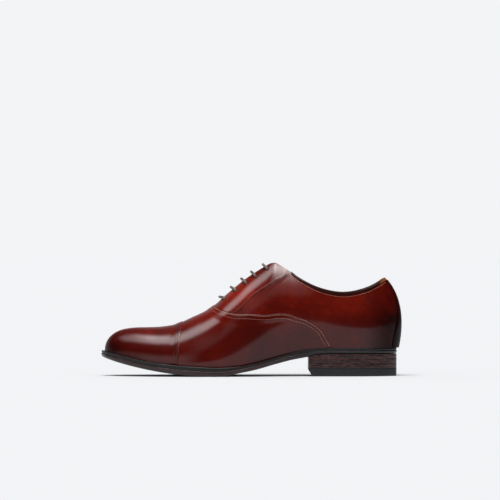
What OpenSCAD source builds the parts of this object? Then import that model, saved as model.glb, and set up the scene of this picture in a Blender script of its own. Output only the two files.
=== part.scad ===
// Leather oxford shoe, left foot. Toe towards -X, outer side towards -Y, floor at z = 0.
// Units are millimetres. The origin is under the middle of the shoe, on the floor.

/* [Overall] */
// Length of the whole shoe from the tip of the sole to the bulge of the heel
shoe_length = 300; // [250:1:340]
// Width of the sole across the ball of the foot
ball_width = 102; // [86:1:122]
// Height of the facings above the floor, the highest point of the leather
facing_height = 112.7; // [100:0.1:130]
// Height of the heel seat, where the upper meets the sole at the heel
heel_seat_height = 28.2; // [24:0.1:34]
// How far the seam of the upper rises from the ball to the toe
toe_spring = 16.7; // [10:0.1:20]

/* [Upper] */
// Thickness of the outer leather
leather = 1.3; // [1.1:0.1:1.6]
// Thickness of the lining leather
lining = 0.85; // [0.7:0.05:1]
// Thickness of the heel counter and the toe stiffener
stiffener = 0.8; // [0.6:0.1:1]
// Step of a lapped seam above the leather beside it
lap_step = 0.5; // [0.3:0.1:0.7]
// Width of the hidden underlap at the seams
lap_width = 8; // [6:0.5:10]
// Gap between the two facings at the top of the lacing
facing_gap = 13.2; // [9:0.2:18]
// Height of the bound edge round the ankle
binding_height = 2.6; // [2:0.1:3.5]

/* [Sole] */
// Thickness of welt and outsole together at the ball
sole_thickness = 8.9; // [7:0.1:10.5]
// Share of the sole edge that is outsole, the rest is welt
outsole_share = 0.56; // [0.45:0.01:0.65]
// Width of the welt beyond the upper at the ball
welt_reach = 5.2; // [4:0.1:7]
// Thickness of the rubber top piece under the heel
top_piece_thickness = 8.2; // [5:0.1:9]
// Thickness of the insole board
insole_thickness = 2.4; // [1.8:0.1:3]

/* [Lacing] */
// Thickness of the round lace
lace_diameter = 2.6; // [2.2:0.1:2.8]
// Bore of the eyelet holes
eyelet_bore = 3.6; // [3.2:0.1:4.2]

/* [Hidden] */
kx = shoe_length / 300;
ky = ball_width / 102;
kz = (facing_height - heel_seat_height) / (112.7 - 28.2);
air = 0.3;
facet_room = 0.4;
ball_z = 8.9;
heel_s = 160;
seam_drop = 0.85;
seam_room = 0.25;
flange = 8;

// height of the feather line: place, height in the base size
feather_z = [
  [-149, 25.6], [-134, 22], [-108, 15.9], [-77, 11.5], [-53, 9.7], [-31, 8.9], [-13, 10.1],
  [5, 13.6], [22, 18.5], [40, 23.6], [57, 27], [72, 28], [86, 28.2], [100, 28.2], [170, 28.2]
];
// thickness of the sole edge along the shoe
edge_depth = [
  [-155, 6.2], [-134, 7.9], [-108, 8.2], [-77, 9], [-53, 9.5], [-40, 9.2], [-28, 8.9], [-13, 7],
  [5, 6.8], [22, 6.9], [40, 7.3], [57, 7.4], [66, 5.9], [74, 5.7], [84, 5.7], [170, 5.7]
];
// feather line in plan: station, place, outer half width, inner half width
feather_plan = [
  [-150, -146.6, 0, 0], [-143, -144.4, 9.8, 9.4], [-133, -137.6, 18.6, 17.8],
  [-121, -127.4, 26.2, 25.2], [-107, -112.5, 33.4, 32.4], [-92, -94, 39.6, 38.8],
  [-74, -74, 44.2, 43.6], [-52, -52, 46.8, 44.6], [-30, -30, 45.2, 40.6], [-6, -6, 39.4, 33.4],
  [18, 18, 33, 27.6], [42, 42, 28.8, 26.2], [66, 66, 28.6, 27.6], [88, 88, 29.6, 29.2],
  [106, 106, 29.6, 29.6], [121, 119.5, 27, 27], [134, 131, 21.6, 21.6], [145, 140.2, 13.6, 13.6],
  [154, 145.2, 5.8, 5.8], [160, 146.4, 0, 0]
];
// top line, ridge in front and facing edge and ankle line behind: station, place, half gap, height
top_line = [
  [-150, -124, 0, 47.3], [-143, -122.6, 0, 47.5], [-133, -118.5, 0, 48], [-121, -112, 0, 48.4],
  [-107, -102.5, 0, 48.6], [-92, -90.5, 0, 49.2], [-74, -74, 0, 52.1], [-58, -58, 0, 59.1],
  [-46, -46, 0, 64.8], [-37, -37, 0.5, 70.6], [-27, -27, 1.5, 79.6], [-17, -17, 2.5, 88.1],
  [-7, -7, 3.5, 96.2], [3, 3, 4.5, 103], [13, 13, 5.5, 109.2], [20, 20, 6.6, 112.8],
  [25, 25, 8.4, 112.8], [30, 30, 11, 109.8], [37, 37, 15.4, 105.6], [45, 45, 19.4, 99.4],
  [54, 54, 22.8, 94], [64, 64, 25.6, 89.1], [75, 75, 27.4, 85.4], [88, 88, 28, 83.1],
  [101, 99, 27.2, 83.4], [114, 109.5, 24.6, 85.6], [127, 119, 19.6, 89], [139, 127, 13.2, 93.4],
  [150, 131.6, 6.2, 96.6], [160, 133.4, 0, 97.4]
];
// fullness of the wall: station, outer bulge, inner bulge, lower reach, upper reach, roof fall
wall_form = [
  [-150, 0.2, 0.2, 12.2, 13.4, 0], [-121, 0.8, 0.8, 13.6, 16.5, 0], [-92, 1.6, 1.6, 16, 21, 0],
  [-58, 3.2, 3, 21, 25, 0], [-37, 4, 4.4, 24, 30, 4], [-17, 4.5, 5.6, 27, 36, 18],
  [3, 6, 6.4, 30, 37, 28], [20, 7, 6.4, 31, 37, 35], [37, 7, 6.2, 29, 32, 47],
  [60, 6, 5.6, 24, 24, 68], [88, 5, 5, 22, 22, 80], [114, 5, 5, 21, 23, 74],
  [139, 5, 5, 20, 27, 58], [160, 4.4, 4.4, 20, 27, 46]
];
// direction in which the wall leaves the top line: station, angle from the toe direction
wall_turn = [
  [-150, 0], [-143, 22], [-133, 44], [-121, 64], [-107, 80], [-92, 88], [-74, 90], [75, 90],
  [88, 91], [101, 96], [114, 107], [127, 124], [139, 144], [150, 163], [160, 180]
];
// reach of the sole edge beyond the feather line at each station, as a share of welt_reach
edge_reach = [
  [-150, 0.66], [-121, 0.78], [-92, 0.9], [-52, 1], [-20, 0.86], [18, 0.58], [50, 0.36],
  [88, 0.22], [121, 0.1], [160, -0.14]
];
// seam of the vamp over the quarters, from the ridge down to the sole: station, height share
vamp_seam = [
  [-37, 1], [-36, 0.9], [-34, 0.8], [-28.5, 0.69], [-17, 0.582], [-1, 0.505], [19, 0.43],
  [38, 0.446], [58, 0.412], [68.5, 0.312], [76.5, 0.11], [80, 0]
];
// seam of the quarter over the facing: station, height share
facing_seam = [[-17, 0.607], [-8, 0.661], [0, 0.71], [11, 0.739], [19, 0.757], [28, 0.843], [37, 1]];
// the five eyelets: station and height share
eyelet_s = [-26.6, -15.4, -5.1, 4.7, 16.3];
eyelet_t = [0.896, 0.898, 0.902, 0.917, 0.93];

// ---- curves through design points ----
function mix(a, b, u) = a * (1 - u) + b * u;
function straight(tab, s) = let (i = knot(tab, s), a = tab[i], b = tab[i + 1])
  mix(a, b, (s - a[0]) / (b[0] - a[0]));
function row_slope(tab, i) = let (
    a = tab[i][0] - tab[i - 1][0],
    b = tab[i + 1][0] - tab[i][0]
  ) ((tab[i] - tab[i - 1]) * (b / a) + (tab[i + 1] - tab[i]) * (a / b)) / (a + b);
function end_slope(tab, i) = (tab[i + 1] - tab[i]) / (tab[i + 1][0] - tab[i][0]);
function slopes(tab, first = undef, last = undef) = [
  for (i = [0:len(tab) - 1])
    i == 0 ? (is_undef(first) ? end_slope(tab, 0) : first)
    : i == len(tab) - 1 ? (is_undef(last) ? end_slope(tab, i - 1) : last)
    : row_slope(tab, i)
];
function knot(tab, s, i = 0) = i >= len(tab) - 2 || s < tab[i + 1][0] ? i : knot(tab, s, i + 1);
function along(tab, m, s) = let (
    i = knot(tab, s),
    h = tab[i + 1][0] - tab[i][0],
    u = (s - tab[i][0]) / h,
    v = 1 - u
  ) tab[i] * ((1 + 2 * u) * v * v) + m[i] * (h * u * v * v)
    + tab[i + 1] * (u * u * (3 - 2 * u)) - m[i + 1] * (h * u * u * v);
feather_z_m = slopes(feather_z);
edge_depth_m = slopes(edge_depth);
feather_plan_m = slopes(feather_plan, [1, 0, 1.55, 1.5], [1, 0, -1.05, -1.05]);
top_line_m = slopes(top_line, [1, 0, 0, 0], [1, 0, -0.7, 0]);
wall_form_m = slopes(wall_form);
wall_turn_m = slopes(wall_turn);
edge_reach_m = slopes(edge_reach);

// ---- the last ----
function swing(x) = ky * (0.5 + 7 * pow(max(0, -20 - x) / 128, 2));
function raw_feather_z(x) = along(feather_z, feather_z_m, x)[1];
function feather_height(x) = let (
    z = raw_feather_z(x),
    k = x < -31 ? toe_spring / 16.7 : (heel_seat_height - sole_thickness) / (28.2 - ball_z)
  ) sole_thickness + (z - ball_z) * k;
function feather_point(s, side) = let (r = along(feather_plan, feather_plan_m, s))
  [r[1] * kx, (side < 0 ? -r[2] : r[3]) * ky + swing(r[1]), feather_height(r[1])];
function plan_normal(s, side) = let (
    d = feather_point(s + 0.05, side) - feather_point(s - 0.05, side),
    n = [-d[1], d[0]] * side
  ) n / norm(n);
function section(s, side) = let (
    low = feather_point(s, side),
    n = plan_normal(s, side),
    w = along(wall_form, wall_form_m, s),
    r = along(top_line, top_line_m, s),
    q = along(top_line, top_line_m, s + 2),
    turn = along(wall_turn, wall_turn_m, s)[1],
    slope = s < -74 && abs(q[1] - r[1]) > 0.001 ? (q[3] - r[3]) / (q[1] - r[1]) * kz / kx : 0,
    gap = r[2] < 7 ? r[2] * facing_gap / 13.2 : r[2] * ky + 7 * (facing_gap / 13.2 - ky),
    base = feather_height(r[1]) + (r[3] - raw_feather_z(r[1])) * kz,
    high = [r[1] * kx, side * gap + swing(r[1]), base],
    out = [-cos(turn) * cos(w[5]), side * sin(turn) * cos(w[5]), -sin(w[5]) - slope * cos(turn)],
    bulge = side < 0 ? w[1] : w[2]
  ) [low, low + [n[0] * bulge, n[1] * bulge, w[3] * kz], high + out * (w[4] * kz), high, n, slope];
function on_section(c, t) = let (v = 1 - t)
  c[0] * (v * v * v) + c[1] * (3 * t * v * v) + c[2] * (3 * t * t * v) + c[3] * (t * t * t);
function climb(c, t) = let (v = 1 - t)
  (c[1] - c[0]) * (v * v) + (c[2] - c[1]) * (2 * t * v) + (c[3] - c[2]) * (t * t);
// a point of the upper: station, height share, side, distance outside the leather face
function skin(s, t, side, off) = let (
    c = section(s, side),
    step = s > 150 ? -0.5 : 0.5,
    d = section(s + step, side),
    u = max(0, min(1, t)),
    run = (on_section(d, u) - on_section(c, u)) / step,
    face = cross(run, climb(c, u)) * -side,
    roof = [-c[5], 0, 1],
    wall = u > 0.99 && s < -74 ? roof : face,
    n = wall / norm(wall),
    foot = [n[0] * 0.7, n[1] * 0.7, -0.7],
    tuck = c[0] - [c[4][0], c[4][1], 0] * (-t * flange)
  ) t < 0 ? [tuck[0], tuck[1], feather_height(tuck[0] / kx) - off]
    : t == 0 ? c[0] + foot * off
    : on_section(c, u) + n * off;

// ---- solids from grids of points ----
function fan(a, b, c, d, flip) = flip ? [[a, b, c], [a, c, d]] : [[c, b, a], [d, c, a]];
// closed solid between two grids; a folded first row runs down the middle of the toe
module grid_solid(high, low, flip = false, folded = false) {
  n = len(high) - 1;
  m = len(high[0]) - 1;
  count = (n + 1) * (m + 1);
  function at(i, j) = folded && i == 0 ? min(j, m - j) : i * (m + 1) + j;
  points = concat([for (row = high) each row], [for (row = low) each row]);
  skins = [
    for (i = [0:n - 1])
      for (j = [0:m - 1]) each concat(
        fan(at(i, j), at(i + 1, j), at(i + 1, j + 1), at(i, j + 1), flip),
        fan(
          at(i, j) + count, at(i, j + 1) + count, at(i + 1, j + 1) + count, at(i + 1, j) + count, flip
        )
      )
  ];
  rim = concat(
    [for (i = [0:n]) at(i, 0)],
    [for (j = [1:m]) at(n, j)],
    [for (i = [n - 1:-1:folded ? 1 : 0]) at(i, m)],
    folded ? [] : [for (j = [m - 1:-1:1]) at(0, j)]
  );
  last = len(rim) - 1;
  walls = [
    for (k = [0:last]) let (a = rim[k], b = rim[k == last ? 0 : k + 1])
      each fan(a, a + count, b + count, b, flip)
  ];
  faces = [for (f = concat(skins, walls)) if (f[0] != f[1] && f[1] != f[2] && f[0] != f[2]) f];
  polyhedron(points = points, faces = faces, convexity = 8);
}
// a leather sheet; each cell is station, height share, side, outer face, inner face
module sheet(cells, flip = false, folded = false) {
  grid_solid(
    [for (row = cells) [for (c = row) skin(c[0], c[1], c[2], c[3])]],
    [for (row = cells) [for (c = row) skin(c[0], c[1], c[2], c[4])]],
    flip, folded
  );
}
// a bar swept through a list of profiles, closed into a ring or capped at its ends
module sweep(rings, ring = false) {
  n = len(rings);
  m = len(rings[0]);
  turns = ring ? n : n - 1;
  sides = [
    for (i = [0:turns - 1])
      for (j = [0:m - 1]) let (k = (i + 1) % n, l = (j + 1) % m)
        each [[i * m + j, k * m + j, k * m + l], [i * m + j, k * m + l, i * m + l]]
  ];
  caps = ring ? [] : [[for (j = [0:m - 1]) j], [for (j = [m - 1:-1:0]) (n - 1) * m + j]];
  polyhedron(points = [for (r = rings) each r], faces = concat(sides, caps), convexity = 8);
}
function ease(a, b, x) = let (u = max(0, min(1, (x - a) / (b - a)))) u * u * (3 - 2 * u);

// ---- station lists shared by the layers ----
arch_t = [-1, 0, 0.05, 0.12, 0.21, 0.31, 0.42, 0.54, 0.65, 0.75, 0.84, 0.92, 1];
arch = concat([for (t = arch_t) [t, -1]], [for (i = [len(arch_t) - 2:-1:0]) [arch_t[i], 1]]);
toe_rows = [-150, -147.5, -144, -139.5, -134, -127.5, -120, -111, -101, -91];
function cap_edge(t) = -72.3 + 3.9 * pow(max(0, t), 1.5);
// depth of the lining behind the leather face, deeper over the stiffeners
function lining_top(s) = -leather - air
  - (stiffener + air) * (1 - ease(-104, -94, s)) - (stiffener + air) * ease(76, 88, s);

module toe_cap() {
  cells = concat(
    [for (s = toe_rows) [for (a = arch) [s, a[0], a[1], 0, -leather]]],
    [for (d = [-15, -lap_width - 3.5, -lap_width - 1.2, -4, 0]) [for (a = arch)
      let (lap = d > -lap_width - 2, top = a[0] > 0 ? lap_step * ease(-10, -4, d) : 0)
      [cap_edge(a[0]) + d, a[0], a[1], top, lap ? -seam_room : -leather]]]
  );
  color([0.36, 0.07, 0.05]) sheet(cells, folded = true);
}

// curve of the vamp seam by share of its run from the sole to the ridge
seam_run = [for (i = [len(vamp_seam) - 1:-1:0]) [vamp_seam[i][0], vamp_seam[i][1]]];
// matching curve one lap width inside the vamp
lap_run = [
  [71, 0], [67.5, 0.09], [60, 0.225], [52, 0.32], [36.5, 0.352], [17.5, 0.345], [-4, 0.415],
  [-21, 0.49], [-35, 0.6], [-42, 0.75], [-44.5, 0.88], [-46, 1]
];
function run_cell(run, j) = [run[max(0, j - 1)][0], j == 0 ? -1 : run[j - 1][1]];
function arch_column(k) = k < len(arch_t) ? k : 2 * len(arch_t) - 2 - k;
module vamp() {
  front = [-lap_width, -0.4, 0.6, 4];
  between = [0.09, 0.2, 0.32, 0.44, 0.56, 0.68, 0.8, 0.9];
  columns = [0:len(arch) - 1];
  cells = concat(
    [for (d = front) [for (a = arch)
      [cap_edge(a[0]) + d, a[0], a[1], d < 0 ? -seam_drop : 0, -leather]]],
    [for (u = between) [for (k = columns) let (
        a = arch[k],
        p = mix([cap_edge(a[0]) + 4, a[0]], run_cell(lap_run, arch_column(k)), u)
      ) [p[0], p[1], a[1], 0, -leather]]],
    [for (w = [0, 0.12, 0.55, 1]) [for (k = columns) let (
        a = arch[k],
        j = arch_column(k),
        p = mix(run_cell(lap_run, j), run_cell(seam_run, j), w),
        top = p[1] > 0.01 ? lap_step * ease(-0.3, 0.5, w) : 0
      ) [p[0], p[1], a[1], top, w > 0.05 ? -seam_room : -leather]]]
  );
  color([0.4, 0.08, 0.05]) sheet(cells);
}

quarter_s = [
  -16, -13, -10, -8.8, -8, -1, 5, 11, 19, 25, 31, 37, 42, 47, 52, 58, 63, 68.5, 72.5, 76.5, 80.7,
  86, 93, 100, 107, 114, 121, 127.5, 134, 140, 146, 151, 155, 159.2
];
function vamp_seam_t(s) = s >= 80 ? 0 : straight(vamp_seam, s)[1];
function facing_seam_t(s) = s >= 37 ? 1 : straight(facing_seam, s)[1];
function quarter_column(s, side) = let (
    low = vamp_seam_t(s),
    high = facing_seam_t(s),
    behind = s >= 79,
    lap = 1 - ease(37, 41.5, s),
    k = min(1, (high - low) / 0.125),
    tip = s < -9,
    face = tip ? lap_step : 0,
    back = tip || lap > 0.5 ? -seam_room : -leather,
    shares = [0, 0.07, 0.17, 0.29, 0.42, 0.56, 0.7, 0.84]
  ) concat(
    behind ? [[s, -1, side, 0, -leather], [s, 0, side, 0, -leather]]
      : tip ? [[s, low + 0.001, side, face, back], [s, low + 0.006 * k, side, face, back]]
      : [
        [s, max(0.001, low - 0.075), side, -seam_drop, -leather],
        [s, max(0.002, low) + 0.006, side, -seam_drop, -leather]
      ],
    [for (f = shares) let (t = low + 0.014 * k + (high - 0.104 * k - low) * f)
      [s, behind && f == 0 ? 0.02 : t, side, face, tip ? back : -leather]],
    [
      [s, high - 0.085 * k, side, face, back],
      [s, high - 0.04 * k, side, lap_step * lap, back],
      [s, high - 0.004 * k, side, lap_step * lap, back]
    ]
  );
module quarter(side) {
  sheet([for (s = quarter_s) quarter_column(s, side)], flip = side > 0);
}
module quarter_lateral() {
  color([0.38, 0.07, 0.05]) quarter(-1);
}
module quarter_medial() {
  color([0.38, 0.07, 0.05]) quarter(1);
}

// places along the facing, and the vamp edge that crosses its lower end
facing_run = [0.1, 0.19, 0.28, 0.37, 0.46, 0.56, 0.67, 0.76, 0.85, 0.92, 0.965];
facing_front = [[-37, 1], [-36, 0.9], [-34, 0.8], [-31, 0.74], [-28.5, 0.69], [-17.6, 0.622]];
facing_under = [[-43, 1], [-42, 0.9], [-39.6, 0.78], [-36.5, 0.71], [-33.5, 0.65], [-23.5, 0.58]];
facing_rows = [0, 0.2, 0.4, 0.6, 0.8, 1];
function facing_column(pts, side, low) = let (last = pts[len(pts) - 1]) concat(
    [for (p = pts) [p[0], p[1], side, low, -leather]],
    [
      [last[0] + 0.3, last[1] - 0.008, side, -seam_drop, -leather],
      [last[0] + 2.5, last[1] - lap_width / 95, side, -seam_drop, -leather]
    ]
  );
module facing(side) {
  cells = concat(
    [facing_column(facing_under, side, -seam_drop)],
    [facing_column(facing_front, side, -seam_drop)],
    [facing_column([for (p = facing_front) [p[0] + 1, p[1]]], side, 0)],
    [for (u = facing_run) let (
        a = [-37 + 74 * u, 1],
        s = -17 + 54 * u,
        b = [s, facing_seam_t(s) + 0.012]
      ) facing_column([for (v = facing_rows) mix(a, b, v)], side, 0)]
  );
  difference() {
    sheet(cells, flip = side < 0);
    eyelet_bores(side);
  }
}
module facing_lateral() {
  color([0.5, 0.1, 0.06]) facing(-1);
}
module facing_medial() {
  color([0.5, 0.1, 0.06]) facing(1);
}

// frame of an eyelet: its centre, outward normal, direction along the row, direction to the edge
function eyelet_frame(k, side) = let (
    s = eyelet_s[k],
    t = eyelet_t[k],
    base = skin(s, t, side, 0),
    n = skin(s, t, side, 1) - base,
    row = skin(s + 3, t, side, 0) - skin(s - 3, t, side, 0),
    r = row / norm(row),
    e = cross(n, r) * -side
  ) [base, n, r, e];
function in_frame(f, out, along_row, to_edge) = f[0] + f[1] * out + f[2] * along_row + f[3] * to_edge;
module eyelet_bores(side) {
  for (k = [0:len(eyelet_s) - 1]) {
    f = eyelet_frame(k, side);
    n = f[1];
    translate(f[0] - n * 6)
      rotate([0, acos(n[2]), atan2(n[1], n[0])])
        cylinder(h = 9, d = eyelet_bore, $fn = 16);
  }
}

// edge of the backstay: height share, station
backstay_rows = [
  [0.01, 145], [0.1, 145], [0.2, 145.6], [0.3, 147], [0.42, 150], [0.55, 152.6], [0.68, 153.8],
  [0.8, 154.6], [0.9, 155.2], [0.955, 155.6]
];
// outer and inner face of the backstay beyond the leather it covers
backstay_faces = [1.35, 0.45];
module backstay() {
  cells = [for (r = backstay_rows) let (s = r[1], m = (r[1] + 160) / 2) [
    for (c = [[s, -1], [m, -1], [heel_s - 0.01, -1], [m, 1], [s, 1]])
      [c[0], r[0], c[1], backstay_faces[0], backstay_faces[1]]
  ]];
  color([0.26, 0.05, 0.04]) sheet(cells, flip = true);
}

binding_s = [
  42.5, 46, 51, 57, 64, 72, 80, 88, 95, 102, 109, 115, 121, 127, 133, 139, 144, 149, 153, 157
];
function binding_profile(s, side) = let (
    c = section(s, side),
    p = c[3],
    up = climb(c, 1) / norm(climb(c, 1)),
    n = skin(s, 1, side, 1) - p,
    deep = lining_top(s) - facet_room - lining,
    h = binding_height,
    shape = [
      [0.85, -h], [0.85, 0.5], [0.35, 1.1], [deep - 0.35, 1.1], [deep - 0.85, 0.5], [deep - 0.85, -h],
      [deep - 0.25, -h], [deep - 0.25, 0.4], [0.25, 0.4], [0.25, -h]
    ]
  ) [for (i = [len(shape) - 1:-1:0]) p + n * shape[i][0] + up * shape[i][1]];
module collar_binding() {
  rings = concat(
    [for (s = binding_s) binding_profile(s, -1)],
    [binding_profile(heel_s - 0.1, -1)],
    [for (i = [len(binding_s) - 1:-1:0]) binding_profile(binding_s[i], 1)]
  );
  color([0.16, 0.04, 0.04]) sweep(rings);
}

// ---- linings and stiffeners ----
inner_t = [0.06, 0.13, 0.21, 0.31, 0.42, 0.54, 0.66, 0.78, 0.9, 1];
inner_arch = concat([for (t = inner_t) [t, -1]], [for (i = [len(inner_t) - 2:-1:0]) [inner_t[i], 1]]);
module vamp_lining() {
  rows = concat(toe_rows, [-80, -70, -61, -54, -47, -39.2]);
  cells = [for (s = rows) [for (a = inner_arch)
    [s, a[0], a[1], lining_top(s) - facet_room, lining_top(s) - facet_room - lining]]];
  color([0.72, 0.52, 0.33]) sheet(cells, folded = true);
}
module toe_puff() {
  rows = [for (s = toe_rows) if (s < -105) s];
  cells = [for (s = rows) [for (a = inner_arch)
    [s, a[0], a[1], -leather - air, -leather - air - stiffener]]];
  color([0.8, 0.75, 0.62]) sheet(cells, folded = true);
}
lining_s = [
  -38, -31, -24, -17, -10, -3, 4, 11, 18, 24, 30, 36, 43, 50, 58, 66, 73, 80, 86, 93, 100, 107, 114,
  121, 127.5, 134, 140, 146, 151, 155, 159.3
];
module quarter_lining(side) {
  shares = [0.06, 0.12, 0.2, 0.29, 0.38, 0.48, 0.58, 0.68, 0.78, 0.88, 0.985];
  cells = [for (s = lining_s) [for (t = shares)
    [s, t, side, lining_top(s) - facet_room, lining_top(s) - facet_room - lining]]];
  difference() {
    sheet(cells, flip = side > 0);
    eyelet_bores(side);
  }
}
module quarter_lining_lateral() {
  color([0.72, 0.52, 0.33]) quarter_lining(-1);
}
module quarter_lining_medial() {
  color([0.72, 0.52, 0.33]) quarter_lining(1);
}
counter_s = [93, 100, 107, 114, 121, 127.5, 134, 140, 146, 151, 155];
module heel_counter() {
  tops = 0.62;
  shares = [0.06, 0.2, 0.34, 0.48, tops];
  path = concat(
    [for (s = counter_s) [s, -1]],
    [[heel_s - 0.1, -1]],
    [for (i = [len(counter_s) - 1:-1:0]) [counter_s[i], 1]]
  );
  cells = [for (q = path) [for (t = shares)
    [q[0], t * mix(0.7, 1, ease(93, 130, q[0])), q[1], -leather - air, -leather - air - stiffener]]];
  color([0.8, 0.75, 0.62]) sheet(cells);
}

// ---- tongue ----
tongue_leather = 0.9;
tongue_backing = 0.6;
tongue_gap = 0.2;
lace_room = lace_diameter + 1.7;
tongue_top = -leather - air - facet_room - lining - lace_room;
tongue_s = [-33, -26, -18, -10, -2, 6, 14, 21, 27, 32];
function tongue_row(s, off) = let (
    mid = (skin(s, 1, -1, off) + skin(s, 1, 1, off)) / 2,
    edge = mix(0.76, 0.735, ease(-33, 10, s)),
    shares = [edge, edge + 0.06, edge + 0.12, 0.93, 0.97]
  ) concat(
    [for (t = shares) skin(s, t, -1, off)],
    [mid],
    [for (i = [len(shares) - 1:-1:0]) skin(s, shares[i], 1, off)]
  );
module tongue_sheet(top, thick) {
  grid_solid(
    [for (s = tongue_s) tongue_row(s, top)],
    [for (s = tongue_s) tongue_row(s, top - thick)]
  );
}
module tongue() {
  color([0.3, 0.05, 0.04]) tongue_sheet(tongue_top, tongue_leather);
}
module tongue_lining() {
  color([0.7, 0.5, 0.32])
    tongue_sheet(tongue_top - tongue_leather - tongue_gap, tongue_backing);
}

// ---- sole ----
outline_s = [
  -149.3, -147.5, -145, -141.5, -137, -131, -124, -116, -107, -97, -86, -74, -62, -50, -38, -26, -14,
  -2, 10, 22, 34, 46, 57, 68, 79, 90, 100, 109, 117, 124.5, 131.5, 138, 144, 149, 153, 156.5, 159.3
];
function edge_point(s, side, inset) = let (
    p = feather_point(s, side),
    n = plan_normal(s, side),
    reach = along(edge_reach, edge_reach_m, s)[1] * welt_reach
  ) [p[0], p[1]] + n * (reach - inset);
function inner_point(s, side, inset) = let (p = feather_point(s, side))
  [p[0], p[1]] - plan_normal(s, side) * inset;
function sole_top(x) = feather_height(x / kx) - 0.15;
function sole_low(x) = let (k = sole_thickness / ball_z)
  max(0, feather_height(x / kx) - along(edge_depth, edge_depth_m, x / kx)[1] * k);
function sole_split(x) = mix(sole_low(x), sole_top(x), outsole_share);
// a row of points across the shoe, a rise above the level 0 tread, 1 welt seam or 2 feather line
function level(x, z) = z == 0 ? sole_low(x) : z == 1 ? sole_split(x) : sole_top(x);
function slab_row(a, b, z, rise) = [for (v = [0, 0.12, 0.5, 0.88, 1]) let (p = mix(a, b, v))
  [p[0], p[1], level(p[0], z) + rise]];
module outsole() {
  color([0.2, 0.1, 0.11]) grid_solid(
    [for (s = outline_s) slab_row(edge_point(s, -1, 0), edge_point(s, 1, 0), 1, 0)],
    [for (s = outline_s) slab_row(edge_point(s, -1, 1.1), edge_point(s, 1, 1.1), 0, 0)]
  );
}
function welt_profile(s, side) = let (a = edge_point(s, side, 0.3), b = inner_point(s, side, 6)) [
    [b[0], b[1], sole_split(b[0]) + 0.1], [b[0], b[1], sole_top(b[0])],
    [a[0], a[1], sole_top(a[0])], [a[0], a[1], sole_split(a[0]) + 0.1]
  ];
module welt() {
  rings = concat(
    [for (s = outline_s) welt_profile(s, -1)],
    [for (i = [len(outline_s) - 1:-1:0]) welt_profile(outline_s[i], 1)]
  );
  color([0.1, 0.08, 0.08]) sweep(rings, ring = true);
}
module cork_filler() {
  rows = [-138, -128, -116, -103, -90, -76, -62, -48, -34, -20];
  color([0.62, 0.45, 0.28]) grid_solid(
    [for (s = rows) slab_row(inner_point(s, -1, 6.6), inner_point(s, 1, 6.6), 2, -0.3)],
    [for (s = rows) slab_row(inner_point(s, -1, 6.6), inner_point(s, 1, 6.6), 1, 0.15)]
  );
}
module shank() {
  rows = [-12, 0, 12, 24, 36, 48, 60, 72, 84, 96];
  half = 6.5;
  function bar(s, rise) = let (m = (inner_point(s, -1, 0) + inner_point(s, 1, 0)) / 2)
    slab_row([m[0], m[1] - half], [m[0], m[1] + half], 1, rise);
  color([0.6, 0.6, 0.62]) grid_solid([for (s = rows) bar(s, 1.75)], [for (s = rows) bar(s, 0.25)]);
}
function board_inset(s) = -lining_top(s) + facet_room + lining + air + 0.5;
module board(low, high, extra) {
  function rows(rise) = [for (s = outline_s) let (inset = board_inset(s) + extra)
    slab_row(inner_point(s, -1, inset), inner_point(s, 1, inset), 2, rise)];
  color([0.68, 0.5, 0.34]) grid_solid(rows(high), rows(low));
}
board_low = leather + air + 0.2;
board_high = board_low + insole_thickness;
sock_gap = 0.2;
sock_thickness = 0.8;
module insole_board() {
  board(board_low, board_high, 0);
}
module sock() {
  board(board_high + sock_gap, board_high + sock_gap + sock_thickness, 0.3);
}

// ---- heel ----
heel_s_list = [57, 68, 79, 90, 100, 109, 117, 124.5, 131.5, 138, 144, 149, 153, 156.5, 159.3];
heel_high = sole_low(100 * kx) - 0.3;
module heel_plan(inset) {
  polygon(concat(
    [for (s = heel_s_list) edge_point(s, -1, inset)],
    [for (i = [len(heel_s_list) - 1:-1:0]) edge_point(heel_s_list[i], 1, inset)]
  ));
}
lift_count = 3;
lift_height = (heel_high - top_piece_thickness) / lift_count;
module heel_lift(i) {
  x = edge_point(57, -1, 0)[0];
  z = top_piece_thickness + i * lift_height;
  color([0.24, 0.1, 0.07]) difference() {
    translate([0, 0, z + 0.1])
      linear_extrude(height = lift_height - 0.1)
        heel_plan(0.4);
    translate([x, -ball_width, 0])
      rotate([-90, 0, 0])
        linear_extrude(height = 2 * ball_width)
          polygon([
            [-9, -sole_low(x) + 0.5], [-9, -heel_high - 9], [16, -heel_high - 9], [16, -heel_high],
            [0, -sole_low(x) + 0.5]
          ]);
  }
}
module heel_lift_1() {
  heel_lift(0);
}
module heel_lift_2() {
  heel_lift(1);
}
module heel_lift_3() {
  heel_lift(2);
}
module top_piece() {
  x = edge_point(57, -1, 0)[0];
  chamfer = [3.9, 6.3];
  color([0.12, 0.12, 0.13]) difference() {
    linear_extrude(height = top_piece_thickness)
      heel_plan(0.4);
    translate([x, -ball_width, 0])
      rotate([-90, 0, 0])
        linear_extrude(height = 2 * ball_width)
          polygon([[-5, 1], [chamfer[0], 1], [chamfer[0], 0], [0, -chamfer[1]], [-5, -chamfer[1]]]);
  }
}

// ---- lace ----
lace_in = -leather - air - facet_room - lining - 0.35 - lace_diameter / 2;
lace_out = 0.4 + lace_diameter / 2;
pass_by = lace_diameter / 2 + 0.3;
function eyelet_in(k, side) = in_frame(eyelet_frame(k, side), lace_in, 0, 0);
function eyelet_out(k, side) = in_frame(eyelet_frame(k, side), lace_out, 0, 0);
function run_by(k, side, to_edge) = in_frame(eyelet_frame(k, side), lace_in, 0, to_edge);
function lace_tail(k, side) = in_frame(eyelet_frame(k, side), lace_in - 0.25, 2, -5);
function bar_over(k, side) = skin(eyelet_s[k] - 3.2, 1, side, lace_out + 0.9);
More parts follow.
